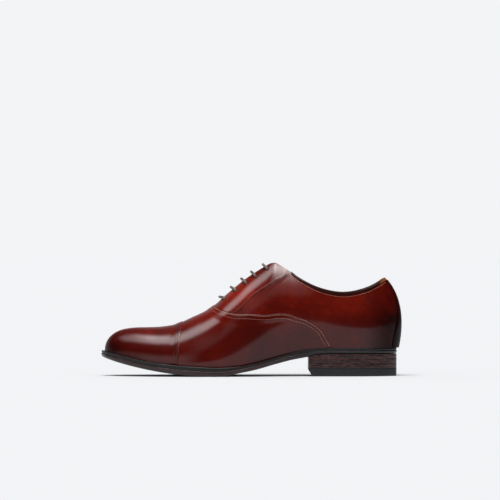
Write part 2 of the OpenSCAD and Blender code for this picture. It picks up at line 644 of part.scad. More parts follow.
// one bar from one side to the other, through both holes
function bar(k, side) = [
  eyelet_in(k, side), eyelet_out(k, side), bar_over(k, side),
  bar_over(k, -side), eyelet_out(k, -side), eyelet_in(k, -side)
];
lace_route = concat(
  [lace_tail(3, -1)],
  bar(3, -1),
  [run_by(2, 1, -2 * pass_by)],
  bar(1, 1),
  bar(0, -1),
  [run_by(1, 1, 2 * pass_by)],
  bar(2, 1),
  [run_by(3, -1, 2 * pass_by)],
  bar(4, -1),
  [lace_tail(4, 1)]
);
// route with every corner rounded
function rounded(path, reach) = concat([path[0]], [
  for (i = [1:len(path) - 2]) let (
      a = path[i - 1] - path[i],
      b = path[i + 1] - path[i],
      d = min(reach, 0.46 * norm(a), 0.46 * norm(b)),
      p = path[i] + a / norm(a) * d,
      q = path[i] + b / norm(b) * d
    ) each [for (u = [0, 0.33, 0.67, 1]) mix(mix(p, path[i], u), mix(path[i], q, u), u)]
], [path[len(path) - 1]]);
// rings carried along a route without twisting
function turned(v, a, b) = let (w = cross(a, b), c = a * b)
  v * c + cross(w, v) + w * ((w * v) / (1 + c));
function heading(path, i) = let (
    a = i == 0 ? path[0] : path[i - 1],
    b = i == len(path) - 1 ? path[i] : path[i + 1]
  ) (b - a) / norm(b - a);
function carried(path, i, v, out = []) = i >= len(path) ? out
  : let (
      h = heading(path, i),
      w = i == 0 ? v : turned(v, heading(path, i - 1), h),
      x = (w - h * (w * h)) / norm(w - h * (w * h))
    ) carried(path, i + 1, x, concat(out, [x]));
module cord(path, d) {
  h = heading(path, 0);
  start = abs(h[2]) < 0.8 ? cross(h, [0, 0, 1]) : cross(h, [1, 0, 0]);
  up = carried(path, 0, start / norm(start));
  sweep([for (i = [0:len(path) - 1]) let (y = cross(heading(path, i), up[i]))
    [for (a = [0:45:315]) path[i] + (up[i] * cos(a) + y * sin(a)) * (d / 2)]]);
}
module lace() {
  color([0.3, 0.24, 0.2]) cord(rounded(lace_route, 2.3), lace_diameter);
}

// route of each tucked end along the inside of the wall: station, height share
end_route_lateral = [
  [13, 0.7], [20, 0.58], [30, 0.45], [42, 0.33], [54, 0.22], [64, 0.15], [74, 0.13], [84, 0.13]
];
end_route_medial = [
  [26, 0.68], [33, 0.56], [43, 0.42], [53, 0.3], [62, 0.2], [70, 0.15], [78, 0.13], [86, 0.13]
];
aglet_length = 20;
// depth of a cord that hugs the lining, measured a little ahead to clear the counter
function hug(s) = lining_top(s + 14) - facet_room - lining - 1.1 - lace_diameter / 2;
function end_path(k, side, route) = let (
    a = lace_tail(k, side),
    b = skin(eyelet_s[k] + 6, eyelet_t[k] - 0.1, side, lace_in - 0.15),
    d = (b - a) / norm(b - a)
  ) rounded(concat([a + d * 0.1, b], [for (q = route) skin(q[0], q[1], side, hug(q[0]))]), 5);
end_lateral = end_path(3, -1, end_route_lateral);
end_medial = end_path(4, 1, end_route_medial);
module lace_end_lateral() {
  color([0.3, 0.24, 0.2]) cord(end_lateral, lace_diameter);
}
module lace_end_medial() {
  color([0.3, 0.24, 0.2]) cord(end_medial, lace_diameter);
}
module aglet(path) {
  h = heading(path, len(path) - 1);
  color([0.18, 0.12, 0.1])
    translate(path[len(path) - 1] + h * 0.1)
      rotate([0, acos(h[2]), atan2(h[1], h[0])])
        cylinder(h = aglet_length, d = lace_diameter + 0.2, $fn = 32);
}
module aglet_lateral() {
  aglet(end_lateral);
}
module aglet_medial() {
  aglet(end_medial);
}

toe_cap();
vamp();
quarter_lateral();
quarter_medial();
facing_lateral();
facing_medial();
backstay();
collar_binding();
vamp_lining();
toe_puff();
quarter_lining_lateral();
quarter_lining_medial();
heel_counter();
tongue();
tongue_lining();
outsole();
welt();
cork_filler();
shank();
insole_board();
sock();
heel_lift_1();
heel_lift_2();
heel_lift_3();
top_piece();
lace();
lace_end_lateral();
lace_end_medial();
aglet_lateral();
aglet_medial();
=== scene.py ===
"""Looks of a leather oxford shoe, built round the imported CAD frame.

The last, the seams and the routes are those of the part's source, in millimetres. Meshes are made in metres.
"""
import math

import bmesh
import bpy
import numpy as np
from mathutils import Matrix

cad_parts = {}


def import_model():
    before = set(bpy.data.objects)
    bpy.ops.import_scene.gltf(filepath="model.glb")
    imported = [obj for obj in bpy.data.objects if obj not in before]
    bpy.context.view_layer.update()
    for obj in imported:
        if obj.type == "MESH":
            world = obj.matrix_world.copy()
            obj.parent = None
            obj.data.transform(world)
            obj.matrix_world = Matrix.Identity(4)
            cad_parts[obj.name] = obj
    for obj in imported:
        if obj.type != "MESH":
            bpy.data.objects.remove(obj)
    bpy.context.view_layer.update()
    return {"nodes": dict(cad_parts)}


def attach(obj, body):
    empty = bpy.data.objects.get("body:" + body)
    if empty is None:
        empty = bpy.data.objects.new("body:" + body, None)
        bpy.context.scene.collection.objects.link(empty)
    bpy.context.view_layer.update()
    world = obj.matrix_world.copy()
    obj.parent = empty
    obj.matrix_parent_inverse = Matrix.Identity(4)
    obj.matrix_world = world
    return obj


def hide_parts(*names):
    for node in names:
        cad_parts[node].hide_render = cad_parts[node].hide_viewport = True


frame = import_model()
scene = bpy.context.scene
MM = 0.001

# ---- sizes of the part, in millimetres ----
LEATHER, LINING, STIFFENER = 1.3, 0.85, 0.8
AIR, FACET_ROOM = 0.3, 0.4
LAP_STEP, LAP_WIDTH = 0.5, 8
SEAM_DROP, SEAM_ROOM = 0.85, 0.25
FLANGE = 8
BINDING_HEIGHT = 2.6
OUTSOLE_SHARE, WELT_REACH = 0.56, 5.2
TOP_PIECE = 8.2
HEEL_HIGH = 22.2
INSOLE = 2.4
LACE = 2.6
EYELET_BORE = 3.6
AGLET = 20


class Table:
    """A smooth curve through rows, each a place followed by its values."""

    def __init__(self, rows, first=None, last=None):
        rows = np.array(rows, float)
        self.x, self.y = rows[:, 0], rows[:, 1:]
        gap = np.diff(self.x)[:, None]
        rise = np.diff(self.y, axis=0) / gap
        self.slope = np.empty_like(self.y)
        self.slope[1:-1] = (rise[:-1] * gap[1:] + rise[1:] * gap[:-1]) / (gap[1:] + gap[:-1])
        self.slope[0] = rise[0] if first is None else first
        self.slope[-1] = rise[-1] if last is None else last

    def __call__(self, s):
        s = np.asarray(s, float)
        i = np.clip(np.searchsorted(self.x, s, side="right") - 1, 0, len(self.x) - 2)
        h = (self.x[i + 1] - self.x[i])[..., None]
        u = (s - self.x[i])[..., None] / h
        v = 1 - u
        ends = self.y[i] * (1 + 2 * u) * v * v + self.y[i + 1] * u * u * (3 - 2 * u)
        return ends + h * u * v * (self.slope[i] * v - self.slope[i + 1] * u)


feather_z = Table([
    (-149, 25.6), (-134, 22), (-108, 15.9), (-77, 11.5), (-53, 9.7), (-31, 8.9), (-13, 10.1),
    (5, 13.6), (22, 18.5), (40, 23.6), (57, 27), (72, 28), (86, 28.2), (100, 28.2), (170, 28.2),
])
edge_depth = Table([
    (-155, 6.2), (-134, 7.9), (-108, 8.2), (-77, 9), (-53, 9.5), (-40, 9.2), (-28, 8.9), (-13, 7),
    (5, 6.8), (22, 6.9), (40, 7.3), (57, 7.4), (66, 5.9), (74, 5.7), (84, 5.7), (170, 5.7),
])
feather_plan = Table([
    (-150, -146.6, 0, 0), (-143, -144.4, 9.8, 9.4), (-133, -137.6, 18.6, 17.8),
    (-121, -127.4, 26.2, 25.2), (-107, -112.5, 33.4, 32.4), (-92, -94, 39.6, 38.8),
    (-74, -74, 44.2, 43.6), (-52, -52, 46.8, 44.6), (-30, -30, 45.2, 40.6), (-6, -6, 39.4, 33.4),
    (18, 18, 33, 27.6), (42, 42, 28.8, 26.2), (66, 66, 28.6, 27.6), (88, 88, 29.6, 29.2),
    (106, 106, 29.6, 29.6), (121, 119.5, 27, 27), (134, 131, 21.6, 21.6), (145, 140.2, 13.6, 13.6),
    (154, 145.2, 5.8, 5.8), (160, 146.4, 0, 0),
], (0, 1.55, 1.5), (0, -1.05, -1.05))
top_line = Table([
    (-150, -124, 0, 47.3), (-143, -122.6, 0, 47.5), (-133, -118.5, 0, 48), (-121, -112, 0, 48.4),
    (-107, -102.5, 0, 48.6), (-92, -90.5, 0, 49.2), (-74, -74, 0, 52.1), (-58, -58, 0, 59.1),
    (-46, -46, 0, 64.8), (-37, -37, 0.5, 70.6), (-27, -27, 1.5, 79.6), (-17, -17, 2.5, 88.1),
    (-7, -7, 3.5, 96.2), (3, 3, 4.5, 103), (13, 13, 5.5, 109.2), (20, 20, 6.6, 112.8),
    (25, 25, 8.4, 112.8), (30, 30, 11, 109.8), (37, 37, 15.4, 105.6), (45, 45, 19.4, 99.4),
    (54, 54, 22.8, 94), (64, 64, 25.6, 89.1), (75, 75, 27.4, 85.4), (88, 88, 28, 83.1),
    (101, 99, 27.2, 83.4), (114, 109.5, 24.6, 85.6), (127, 119, 19.6, 89), (139, 127, 13.2, 93.4),
    (150, 131.6, 6.2, 96.6), (160, 133.4, 0, 97.4),
], (0, 0, 0), (0, -0.7, 0))
wall_form = Table([
    (-150, 0.2, 0.2, 12.2, 13.4, 0), (-121, 0.8, 0.8, 13.6, 16.5, 0), (-92, 1.6, 1.6, 16, 21, 0),
    (-58, 3.2, 3, 21, 25, 0), (-37, 4, 4.4, 24, 30, 4), (-17, 4.5, 5.6, 27, 36, 18),
    (3, 6, 6.4, 30, 37, 28), (20, 7, 6.4, 31, 37, 35), (37, 7, 6.2, 29, 32, 47),
    (60, 6, 5.6, 24, 24, 68), (88, 5, 5, 22, 22, 80), (114, 5, 5, 21, 23, 74),
    (139, 5, 5, 20, 27, 58), (160, 4.4, 4.4, 20, 27, 46),
])
wall_turn = Table([
    (-150, 0), (-143, 22), (-133, 44), (-121, 64), (-107, 80), (-92, 88), (-74, 90), (75, 90),
    (88, 91), (101, 96), (114, 107), (127, 124), (139, 144), (150, 163), (160, 180),
])
edge_reach = Table([
    (-150, 0.66), (-121, 0.78), (-92, 0.9), (-52, 1), (-20, 0.86), (18, 0.58), (50, 0.36),
    (88, 0.22), (121, 0.1), (160, -0.14),
])
vamp_seam = [
    (-37, 1), (-36, 0.9), (-34, 0.8), (-28.5, 0.69), (-17, 0.582), (-1, 0.505), (19, 0.43),
    (38, 0.446), (58, 0.412), (68.5, 0.312), (76.5, 0.11), (80, 0),
]
lap_inside = [
    (71, 0), (67.5, 0.09), (60, 0.225), (52, 0.32), (36.5, 0.352), (17.5, 0.345), (-4, 0.415),
    (-21, 0.49), (-35, 0.6), (-42, 0.75), (-44.5, 0.88), (-46, 1),
]
facing_seam = [(-17, 0.607), (-8, 0.661), (0, 0.71), (11, 0.739), (19, 0.757), (28, 0.843), (37, 1)]
facing_front = [(-37, 1), (-36, 0.9), (-34, 0.8), (-31, 0.74), (-28.5, 0.69), (-17.6, 0.622)]
facing_under = [(-43, 1), (-42, 0.9), (-39.6, 0.78), (-36.5, 0.71), (-33.5, 0.65), (-23.5, 0.58)]
arch_shares = [0, 0.05, 0.12, 0.21, 0.31, 0.42, 0.54, 0.65, 0.75, 0.84, 0.92, 1]
eyelets = [(-26.6, 0.896), (-15.4, 0.898), (-5.1, 0.902), (4.7, 0.917), (16.3, 0.93)]


def ease(a, b, x):
    u = np.clip((x - a) / (b - a), 0, 1)
    return u * u * (3 - 2 * u)


def mix(a, b, u):
    return np.asarray(a) * (1 - u) + np.asarray(b) * u


def unit(v):
    return v / np.linalg.norm(v, axis=-1, keepdims=True)


def swing(x):
    return 0.5 + 7 * (np.maximum(0, -20 - x) / 128) ** 2


def feather_height(x):
    return feather_z(x)[..., 0]


def feather_point(s, side):
    r = feather_plan(s)
    y = np.where(side < 0, -r[..., 1], r[..., 2]) + swing(r[..., 0])
    return np.stack([r[..., 0], y, feather_height(r[..., 0])], -1)


def plan_normal(s, side):
    d = feather_point(s + 0.05, side) - feather_point(s - 0.05, side)
    return unit(np.stack([-d[..., 1] * side, d[..., 0] * side, 0 * d[..., 0]], -1))


def section(s, side):
    """Four control points of the wall at a station, and the slope of the ridge."""
    low = feather_point(s, side)
    n = plan_normal(s, side)
    w, r, q = wall_form(s), top_line(s), top_line(s + 2)
    turn = np.radians(wall_turn(s)[..., 0])
    fall = np.radians(w[..., 4])
    run = q[..., 0] - r[..., 0]
    safe = np.where(np.abs(run) > 0.001, run, 1)
    slope = np.where((s < -74) & (np.abs(run) > 0.001), (q[..., 2] - r[..., 2]) / safe, 0)
    high = np.stack([r[..., 0], side * r[..., 1] + swing(r[..., 0]), r[..., 2]], -1)
    ahead, aside = np.cos(turn), np.sin(turn)
    out = np.stack([-ahead * np.cos(fall), side * aside * np.cos(fall), -np.sin(fall) - slope * ahead], -1)
    bulge = np.where(side < 0, w[..., 0], w[..., 1])[..., None]
    rise = np.stack([0 * s, 0 * s, w[..., 2]], -1)
    return low, low + n * bulge + rise, high + out * w[..., 3][..., None], high, n, slope


def on_section(c, t):
    v = 1 - t
    return c[0] * v**3 + c[1] * (3 * t * v * v) + c[2] * (3 * t * t * v) + c[3] * t**3


def climb(c, t):
    v = 1 - t
    return (c[1] - c[0]) * v * v + (c[2] - c[1]) * (2 * t * v) + (c[3] - c[2]) * t * t


def skin(s, t, side, off=0.0):
    """A point of the upper: station, height share, side, distance outside the leather face."""
    s, t, side, off = (np.array(a, float) for a in np.broadcast_arrays(s, t, side, off))
    c = section(s, side)
    step = np.where(s > 150, -0.5, 0.5)
    d = section(s + step, side)
    u = np.clip(t, 0, 1)[..., None]
    run = (on_section(d, u) - on_section(c, u)) / step[..., None]
    face = np.cross(run, climb(c, u)) * -side[..., None]
    roof = np.stack([-c[5], 0 * s, 1 + 0 * s], -1)
    n = unit(np.where((u > 0.99) & (s < -74)[..., None], roof, face))
    off = off[..., None]
    foot = np.stack([n[..., 0] * 0.7, n[..., 1] * 0.7, -0.7 + 0 * s], -1)
    tuck = c[0] + c[4] * (t * FLANGE)[..., None]
    tuck[..., 2] = feather_height(tuck[..., 0]) - off[..., 0]
    t = t[..., None]
    return np.where(t < 0, tuck, np.where(t == 0, c[0] + foot * off, on_section(c, u) + n * off))


def lining_top(s):
    stiff = STIFFENER + AIR
    return -LEATHER - AIR - stiff * (1 - ease(-104, -94, s)) - stiff * ease(76, 88, s)


def cap_edge(t):
    return -72.3 + 3.9 * np.maximum(0, t) ** 1.5


def through(points, at, scale=(1, 90)):
    """Points of a smooth curve through design points, at places counted in points."""
    p = np.array(points, float)
    gap = np.linalg.norm(np.diff(p * np.array(scale), axis=0), axis=1)
    x = np.concatenate([[0], np.cumsum(gap)])
    return Table(np.column_stack([x, p]))(np.interp(at, np.arange(len(p)), x))


def share_on(points, s):
    """Height share of a seam at a station."""
    places = np.linspace(0, len(points) - 1, 400)
    curve = through(points, places)
    return np.interp(s, curve[:, 0], curve[:, 1])


# ---- meshes ----
def make_mesh(name, points, faces, kinds=None, sharp=42):
    """An object from points in millimetres; kinds gives each face's material slot."""
    mesh = bpy.data.meshes.new(name)
    mesh.from_pydata((np.asarray(points) * MM).tolist(), [], [list(map(int, f)) for f in faces])
    if kinds is not None:
        mesh.polygons.foreach_set("material_index", np.asarray(kinds, np.int32))
    bm = bmesh.new()
    bm.from_mesh(mesh)
    bmesh.ops.remove_doubles(bm, verts=bm.verts, dist=3e-6)
    bmesh.ops.dissolve_degenerate(bm, edges=bm.edges, dist=1e-6)
    bmesh.ops.recalc_face_normals(bm, faces=bm.faces)
    bm.to_mesh(mesh)
    bm.free()
    mesh.shade_smooth()
    mesh.set_sharp_from_angle(angle=math.radians(sharp))
    obj = bpy.data.objects.new(name, mesh)
    scene.collection.objects.link(obj)
    return obj


def sheet(name, high, low, folded=False, edge=()):
    """A closed sheet between two grids of points. The rims named in edge get the second material."""
    rows, cols = high.shape[:2]
    at = np.arange(rows * cols).reshape(rows, cols)
    if folded:
        at[0] = np.minimum(np.arange(cols), cols - 1 - np.arange(cols))
    under = at + rows * cols
    tops = np.stack([at[:-1, :-1], at[1:, :-1], at[1:, 1:], at[:-1, 1:]], -1).reshape(-1, 4)
    backs = np.stack([under[:-1, :-1], under[:-1, 1:], under[1:, 1:], under[1:, :-1]], -1).reshape(-1, 4)
    faces = [tops, backs]
    kinds = [np.zeros(len(tops)), np.full(len(backs), 2)]
    whole = slice(None)
    rims = {"start": (0, whole), "end": (-1, whole), "left": (whole, 0), "right": (whole, -1)}
    for key, where in rims.items():
        if folded and key == "start":
            continue
        a, b = at[where], under[where]
        rim = np.stack([a[:-1], a[1:], b[1:], b[:-1]], -1)
        faces.append(rim)
        kinds.append(np.full(len(rim), 1 if key in edge else 2))
    points = np.concatenate([high.reshape(-1, 3), low.reshape(-1, 3)])
    return make_mesh(name, points, np.concatenate(faces), np.concatenate(kinds))


def cell_sheet(name, s, t, side, top, back, **how):
    """A leather sheet from grids of station, share, side, outer and inner distance."""
    return sheet(name, skin(s, t, side, top), skin(s, t, side, back), **how)


def sweep(name, rings, ring=False, kinds=None, sharp=42):
    """A bar through a list of closed profiles."""
    rings = np.asarray(rings)
    n, m = rings.shape[:2]
    at = np.arange(n * m).reshape(n, m)
    across = np.roll(at, -1, axis=1)
    ahead, ahead_across = (np.roll(a, -1, axis=0) for a in (at, across))
    sides = np.stack([at, ahead, ahead_across, across], -1)
    sides = sides if ring else sides[:-1]
    faces = [list(f) for f in sides.reshape(-1, 4)]
    if not ring:
        faces += [list(at[0]), list(at[-1])]
    if kinds is not None:
        kinds = list(np.tile(kinds, len(sides))) + [0] * (0 if ring else 2)
    return make_mesh(name, rings.reshape(-1, 3), faces, kinds, sharp)


def arch(shares):
    """Columns over the foot, from the outer feather line across the ridge to the inner one."""
    shares = np.asarray(shares)
    return there_and_back(shares), two_sides(len(shares))


def there_and_back(row):
    return np.concatenate([row, row[-2::-1]])


def two_sides(count):
    """Side of each column of there_and_back: outer, then inner."""
    return np.concatenate([-np.ones(count), np.ones(count - 1)])


def grids(*parts):
    return [np.array(a, float) for a in np.broadcast_arrays(*parts)]


FINE = np.concatenate([[-0.2, 0, 0.012, 0.03], np.linspace(0.06, 1, 36)])


def make_toe_cap():
    t, side = arch(FINE)
    body = np.linspace(0, 1, 46)
    near = np.array([-8.5, -7, -5.6, -4.4, -3.2, -2.1, -1.2, -0.55, -0.18, 0])
    d = np.concatenate([np.full(len(body), -9.9), near])
    s = np.concatenate([
        -150 + (cap_edge(t)[None] - 9.9 + 150) * body[:, None], cap_edge(t)[None] + near[:, None],
    ])
    lap = LAP_STEP * ease(-9.9, -4, d)[:, None] * np.clip(t / 0.03, 0, 1)[None]
    soft = np.concatenate([np.zeros(len(d) - 2), [0.07, 0.24]])[:, None]
    back = np.where(d > -9, -SEAM_ROOM, -LEATHER)[:, None]
    return cell_sheet("toe_cap_leather", *grids(s, t, side, lap - soft, back), folded=True, edge=("end",))


def seam_columns(count=52):
    """Places along the vamp seam, from the sole to the ridge, counted in design points."""
    return 11 * np.linspace(0, 1, count) ** 1.05


def make_vamp():
    at = seam_columns()
    t_cap = through(list(zip(arch_shares, arch_shares)), at)[:, 1]
    seam = through(vamp_seam[::-1], at)
    inside = through(lap_inside, at)
    rows, tops, backs = [], [], []
    for d, top in ((-LAP_WIDTH, -SEAM_DROP), (-1.3, -SEAM_DROP), (-0.3, 0), (0.6, 0), (2, 0)):
        rows.append(np.column_stack([cap_edge(t_cap) + d, t_cap]))
        tops.append(np.full(len(at), float(top)))
        backs.append(-LEATHER)
    start = np.column_stack([cap_edge(t_cap) + 2, t_cap])
    for u in np.linspace(0, 1, 42)[1:]:
        rows.append(mix(start, inside, u))
        tops.append(np.zeros(len(at)))
        backs.append(-LEATHER)
    for w in (0.06, 0.14, 0.24, 0.36, 0.48, 0.6, 0.72, 0.82, 0.9, 0.96, 0.985, 1):
        rows.append(mix(inside, seam, w))
        soft = 0.24 if w == 1 else 0.07 if w == 0.985 else 0
        tops.append(LAP_STEP * ease(0, 0.6, w) * np.clip(seam[:, 1] / 0.03, 0, 1) - soft)
        backs.append(-SEAM_ROOM)
    st = np.array(rows)
    top = np.array(tops)
    st = np.concatenate([st[:, :1], st], 1)
    st[:, 0, 1] = -0.2
    top = np.concatenate([top[:, :1], top], 1)
    s, t = (np.concatenate([st[..., k], st[:, -2::-1, k]], 1) for k in (0, 1))
    top = np.concatenate([top, top[:, -2::-1]], 1)
    cells = grids(s, t, two_sides(st.shape[1]), top, np.array(backs)[:, None])
    return cell_sheet("vamp_leather", *cells, edge=("end",))


def make_quarter(side, name):
    s = np.concatenate([np.linspace(-16.8, -8, 9), np.linspace(-6, 76, 46), np.linspace(77.5, 160, 56)])
    low = np.where(s < 80, share_on(vamp_seam, s), 0)
    high = np.where(s < 37, share_on(facing_seam, s), 1)
    k = np.minimum(1, (high - low) / 0.125)
    lap = 1 - ease(34, 41, s)
    behind = s >= 79.9
    columns, tops = [], []
    for drop, dip in ((-0.05, SEAM_DROP), (-0.016, SEAM_DROP), (-0.004, 0.0)):
        columns.append(np.maximum(low + drop * k, 0.002))
        tops.append(np.where(behind, 0, -dip))
    for j, t in enumerate((-0.2, 0, 0.012)):
        columns[j] = np.where(behind, t, columns[j])
    a, b = low + np.where(behind, 0.03, 0.004 * k), high - 0.09 * k
    for f in np.linspace(0, 1, 30):
        columns.append(a + (b - a) * f)
        tops.append(0 * s)
    for gap in (0.075, 0.06, 0.045, 0.03, 0.018, 0.009, 0.003, 0.0008):
        columns.append(high - gap * k)
        soft = 0.24 if gap == 0.0008 else 0.07 if gap == 0.003 else 0
        tops.append((LAP_STEP * ease(0.09, 0.035, gap) - soft) * lap)
    t, top = np.array(columns).T, np.array(tops).T
    over_facing = (t > high[:, None] - 0.088) & (s < 39)[:, None] | (s < -9)[:, None]
    back = np.where(over_facing, -SEAM_ROOM, -LEATHER)
    return cell_sheet(name, *grids(s[:, None], t, side, top, back), edge=("right",))


def make_facing(side, name):
    v = np.concatenate([[0, 0.012, 0.04, 0.08], np.linspace(0.13, 1, 20)])
    front, under = through(facing_front, v * 5), through(facing_under, v * 5)
    rows = [under, front - (1.6, 0), front - (0.4, 0), front + (1, 0)]
    first = None
    for u in np.linspace(0.1, 0.993, 44):
        b = -17 + 54 * u
        end = np.array([b, share_on(facing_seam, b) - 0.006])
        row = mix(np.array([-37 + 74 * u, 1.0])[None], end[None], v[:, None])
        if first is None:
            first = row
            rows += [mix(rows[-1], row, w) for w in (0.25, 0.5, 0.75)]
        rows.append(row)
    st = np.array(rows)
    hidden = st[:, -1:] + np.array([(0.2, -0.012), (2.3, -0.08)])[None]
    st = np.concatenate([st, hidden], 1)
    top = np.zeros(st.shape[:2])
    top[:2] = -SEAM_DROP
    top[:, -2:] = -SEAM_DROP
    top[:, 0] -= 0.26
    top[:, 1] -= 0.07
    obj = cell_sheet(name, *grids(st[..., 0], st[..., 1], side, top, -LEATHER), edge=("left",))
    return bored(obj, side)


def eyelet_frame(k, side):
    s, t = eyelets[k]
    base = skin(s, t, side)
    n = skin(s, t, side, 1) - base
    r = unit(skin(s + 3, t, side) - skin(s - 3, t, side))
    return base, n, r, np.cross(n, r) * -side


def in_frame(f, out, along_row=0.0, to_edge=0.0):
    return f[0] + f[1] * out + f[2] * along_row + f[3] * to_edge


def bored(obj, side):
    """Cuts the five lace holes."""
    for k in range(len(eyelets)):
        base, n, r, e = eyelet_frame(k, side)
        turn = np.radians(np.arange(0, 360, 15))
        ring = (np.cos(turn)[:, None] * r + np.sin(turn)[:, None] * e) * (EYELET_BORE / 2)
        bore = sweep("bore", [base + n * h + ring for h in (-4.5, 1.5)])
        cut = obj.modifiers.new("hole", "BOOLEAN")
        cut.operation, cut.object, cut.solver = "DIFFERENCE", bore, "EXACT"
        solid = bpy.data.meshes.new_from_object(obj.evaluated_get(bpy.context.evaluated_depsgraph_get()))
        obj.modifiers.clear()
        obj.data = solid
        bpy.data.objects.remove(bore)
    obj.data.shade_smooth()
    obj.data.set_sharp_from_angle(angle=math.radians(42))
    return obj


backstay_rows = Table([
    (0.005, 145), (0.1, 145), (0.2, 145.6), (0.3, 147), (0.42, 150), (0.55, 152.6), (0.68, 153.8),
    (0.8, 154.6), (0.9, 155.2), (0.965, 155.6),
])


def make_backstay():
    t = np.linspace(0.005, 0.965, 46)[:, None]
    s = backstay_rows(t[:, 0])[:, :1]
    f = np.array([0, 0.04, 0.12, 0.25, 0.4, 0.6, 0.8, 1])[None]
    left = s + (159.99 - s) * f
    stations = np.concatenate([left, left[:, -2::-1]], 1)
    rise = np.array([0.55, 0.85, 1.02, 1.12, 1.2, 1.28, 1.33, 1.35])
    cells = grids(stations, t, two_sides(len(rise)), there_and_back(rise), 0.05)
    return cell_sheet("backstay_leather", *cells, edge=("left", "right", "end"))


def make_binding():
    s = np.concatenate([np.linspace(40, 157, 70), [159.9]])
    side = two_sides(len(s))
    s = there_and_back(s)
    c = section(s, side)
    up = unit(climb(c, np.ones((len(s), 1))))
    n = skin(s, 1, side, 1) - c[3]
    deep = lining_top(s) - FACET_ROOM - LINING
    h = BINDING_HEIGHT
    outer, inner = 0.85 + 0 * s, deep - 0.85
    middle, half = (outer + inner) / 2, (outer - inner) / 2
    shape = [(0.25 + 0 * s, -h), (outer - 0.25, -h), (outer - 0.04, -h + 0.25), (outer, -h + 0.9)]
    roll = np.radians(np.arange(10, 171, 16))
    shape += [(middle + half * math.cos(a), 1.1 * math.sin(a) ** 0.7) for a in roll]
    shape += [(inner, -h + 0.9), (inner + 0.04, -h + 0.25), (inner + 0.25, -h), (deep - 0.25, -h)]
    shape += [(deep - 0.25, -0.1), (0.25 + 0 * s, -0.1)]
    rings = np.stack([c[3] + n * np.asarray(x)[:, None] + up * z for x, z in shape], 1)
    return sweep("collar_binding_leather", rings)


def make_lining(name, s, shares, side):
    t = np.asarray(shares)[None]
    outer = (lining_top(s) - FACET_ROOM)[:, None]
    return cell_sheet(name, *grids(s[:, None], t, side, outer, outer - LINING))


def make_vamp_lining():
    t, side = arch(np.linspace(0.06, 1, 26))
    s = np.linspace(-150, -39, 60)
    outer = (lining_top(s) - FACET_ROOM)[:, None]
    cells = grids(s[:, None], t[None], side[None], outer, outer - LINING)
    return cell_sheet("vamp_lining_leather", *cells, folded=True)


TONGUE_LEATHER, TONGUE_GAP, TONGUE_BACKING = 0.9, 0.2, 0.6
tongue_top = -LEATHER - AIR - FACET_ROOM - LINING - (LACE + 1.7)


def tongue_row(s, off):
    edge = 0.76 - 0.025 * ease(-33, 10, s)
    shares = np.concatenate([np.linspace(edge, 0.93, 9), [0.955, 0.975]])
    middle = (skin(s, 1, -1, off) + skin(s, 1, 1, off)) / 2
    thin = np.concatenate([[0.25, 0.06], np.zeros(len(shares) - 2)])
    left, right = (skin(s, shares, side, off - thin) for side in (-1, 1))
    return np.concatenate([left, middle[None], right[::-1]])


def make_tongue(name, top, thick):
    rows = np.linspace(-33, 32, 40)
    soft = 0.3 * ease(31, 32, rows)
    high = np.stack([tongue_row(s, top - d) for s, d in zip(rows, soft)])
    low = np.stack([tongue_row(s, top - thick) for s in rows])
    return sheet(name, high, low)


# ---- sole ----
def edge_point(s, side, inset):
    p = feather_point(s, side)
    n = plan_normal(s, side)
    reach = edge_reach(s)[..., 0] * WELT_REACH
    return p[..., :2] + n[..., :2] * (reach - inset)[..., None]


def inner_point(s, side, inset):
    return feather_point(s, side)[..., :2] - plan_normal(s, side)[..., :2] * np.asarray(inset)[..., None]


def sole_top(x):
    return feather_height(x) - 0.15


def sole_low(x):
    return np.maximum(0, feather_height(x) - edge_depth(x)[..., 0])


def sole_split(x):
    return mix(sole_low(x), sole_top(x), OUTSOLE_SHARE)


OUTLINE = np.concatenate([np.linspace(-150, -76, 50), np.linspace(-74, 86, 64), np.linspace(88, 160, 46)])


def lifted(plan, z):
    return np.concatenate([plan, np.broadcast_to(z, plan.shape[:-1])[..., None]], -1)


def make_welt():
    s = np.concatenate([OUTLINE, OUTLINE[-2:0:-1]])
    side = np.concatenate([-np.ones(len(OUTLINE)), np.ones(len(OUTLINE) - 2)])
    shape = ((0.95, 0, 0.12), (0.55, 0, 0.3), (0.36, 0, 0.75), (0.3, 0, 1.3), (0.3, 1, -0.7),
             (0.42, 1, -0.28), (0.75, 1, -0.06), (1.2, 1, 0), (2.6, 1, 0))
    ring = []
    for inset, at_top, rise in shape:
        p = edge_point(s, side, inset + 0 * s)
        ring.append(lifted(p, (sole_top(p[:, 0]) if at_top else sole_split(p[:, 0])) + rise))
    p = inner_point(s, side, 6 + 0 * s)
    ring += [lifted(p, sole_top(p[:, 0])), lifted(p, sole_split(p[:, 0]) + 0.12)]
    return sweep("welt_edge", np.stack(ring, 1), ring=True)


def make_outsole():
    shape = ((0.8, 0, 0.0), (0.3, 0, -0.12), (0.06, 0, -0.45), (0, 0, -0.9), (0, 1, 2.3), (0.12, 1, 1.5),
             (0.5, 1, 0.75), (1.1, 1, 0.28), (2, 1, 0.04), (3.2, 1, 0))
    halves = []
    for side in (-1.0, 1.0):
        half = []
        for inset, at_low, rise in shape:
            p = edge_point(OUTLINE, side, inset + 0 * OUTLINE)
            half.append(lifted(p, (sole_low(p[:, 0]) if at_low else sole_split(p[:, 0])) + rise))
        halves.append(half)
    left, right = halves
    below = [mix(left[-1], right[-1], v) for v in (0.15, 0.32, 0.5, 0.68, 0.85)]
    above = [mix(right[0], left[0], v) for v in (0.2, 0.5, 0.8)]
    loop = left + below + right[::-1] + above
    for p in below:
        p[:, 2] = sole_low(p[:, 0])
    kinds = [0] * 9 + [1] * 6 + [0] * 9 + [2] * 4
    return sweep("outsole_leather", np.stack(loop, 1), kinds=kinds)


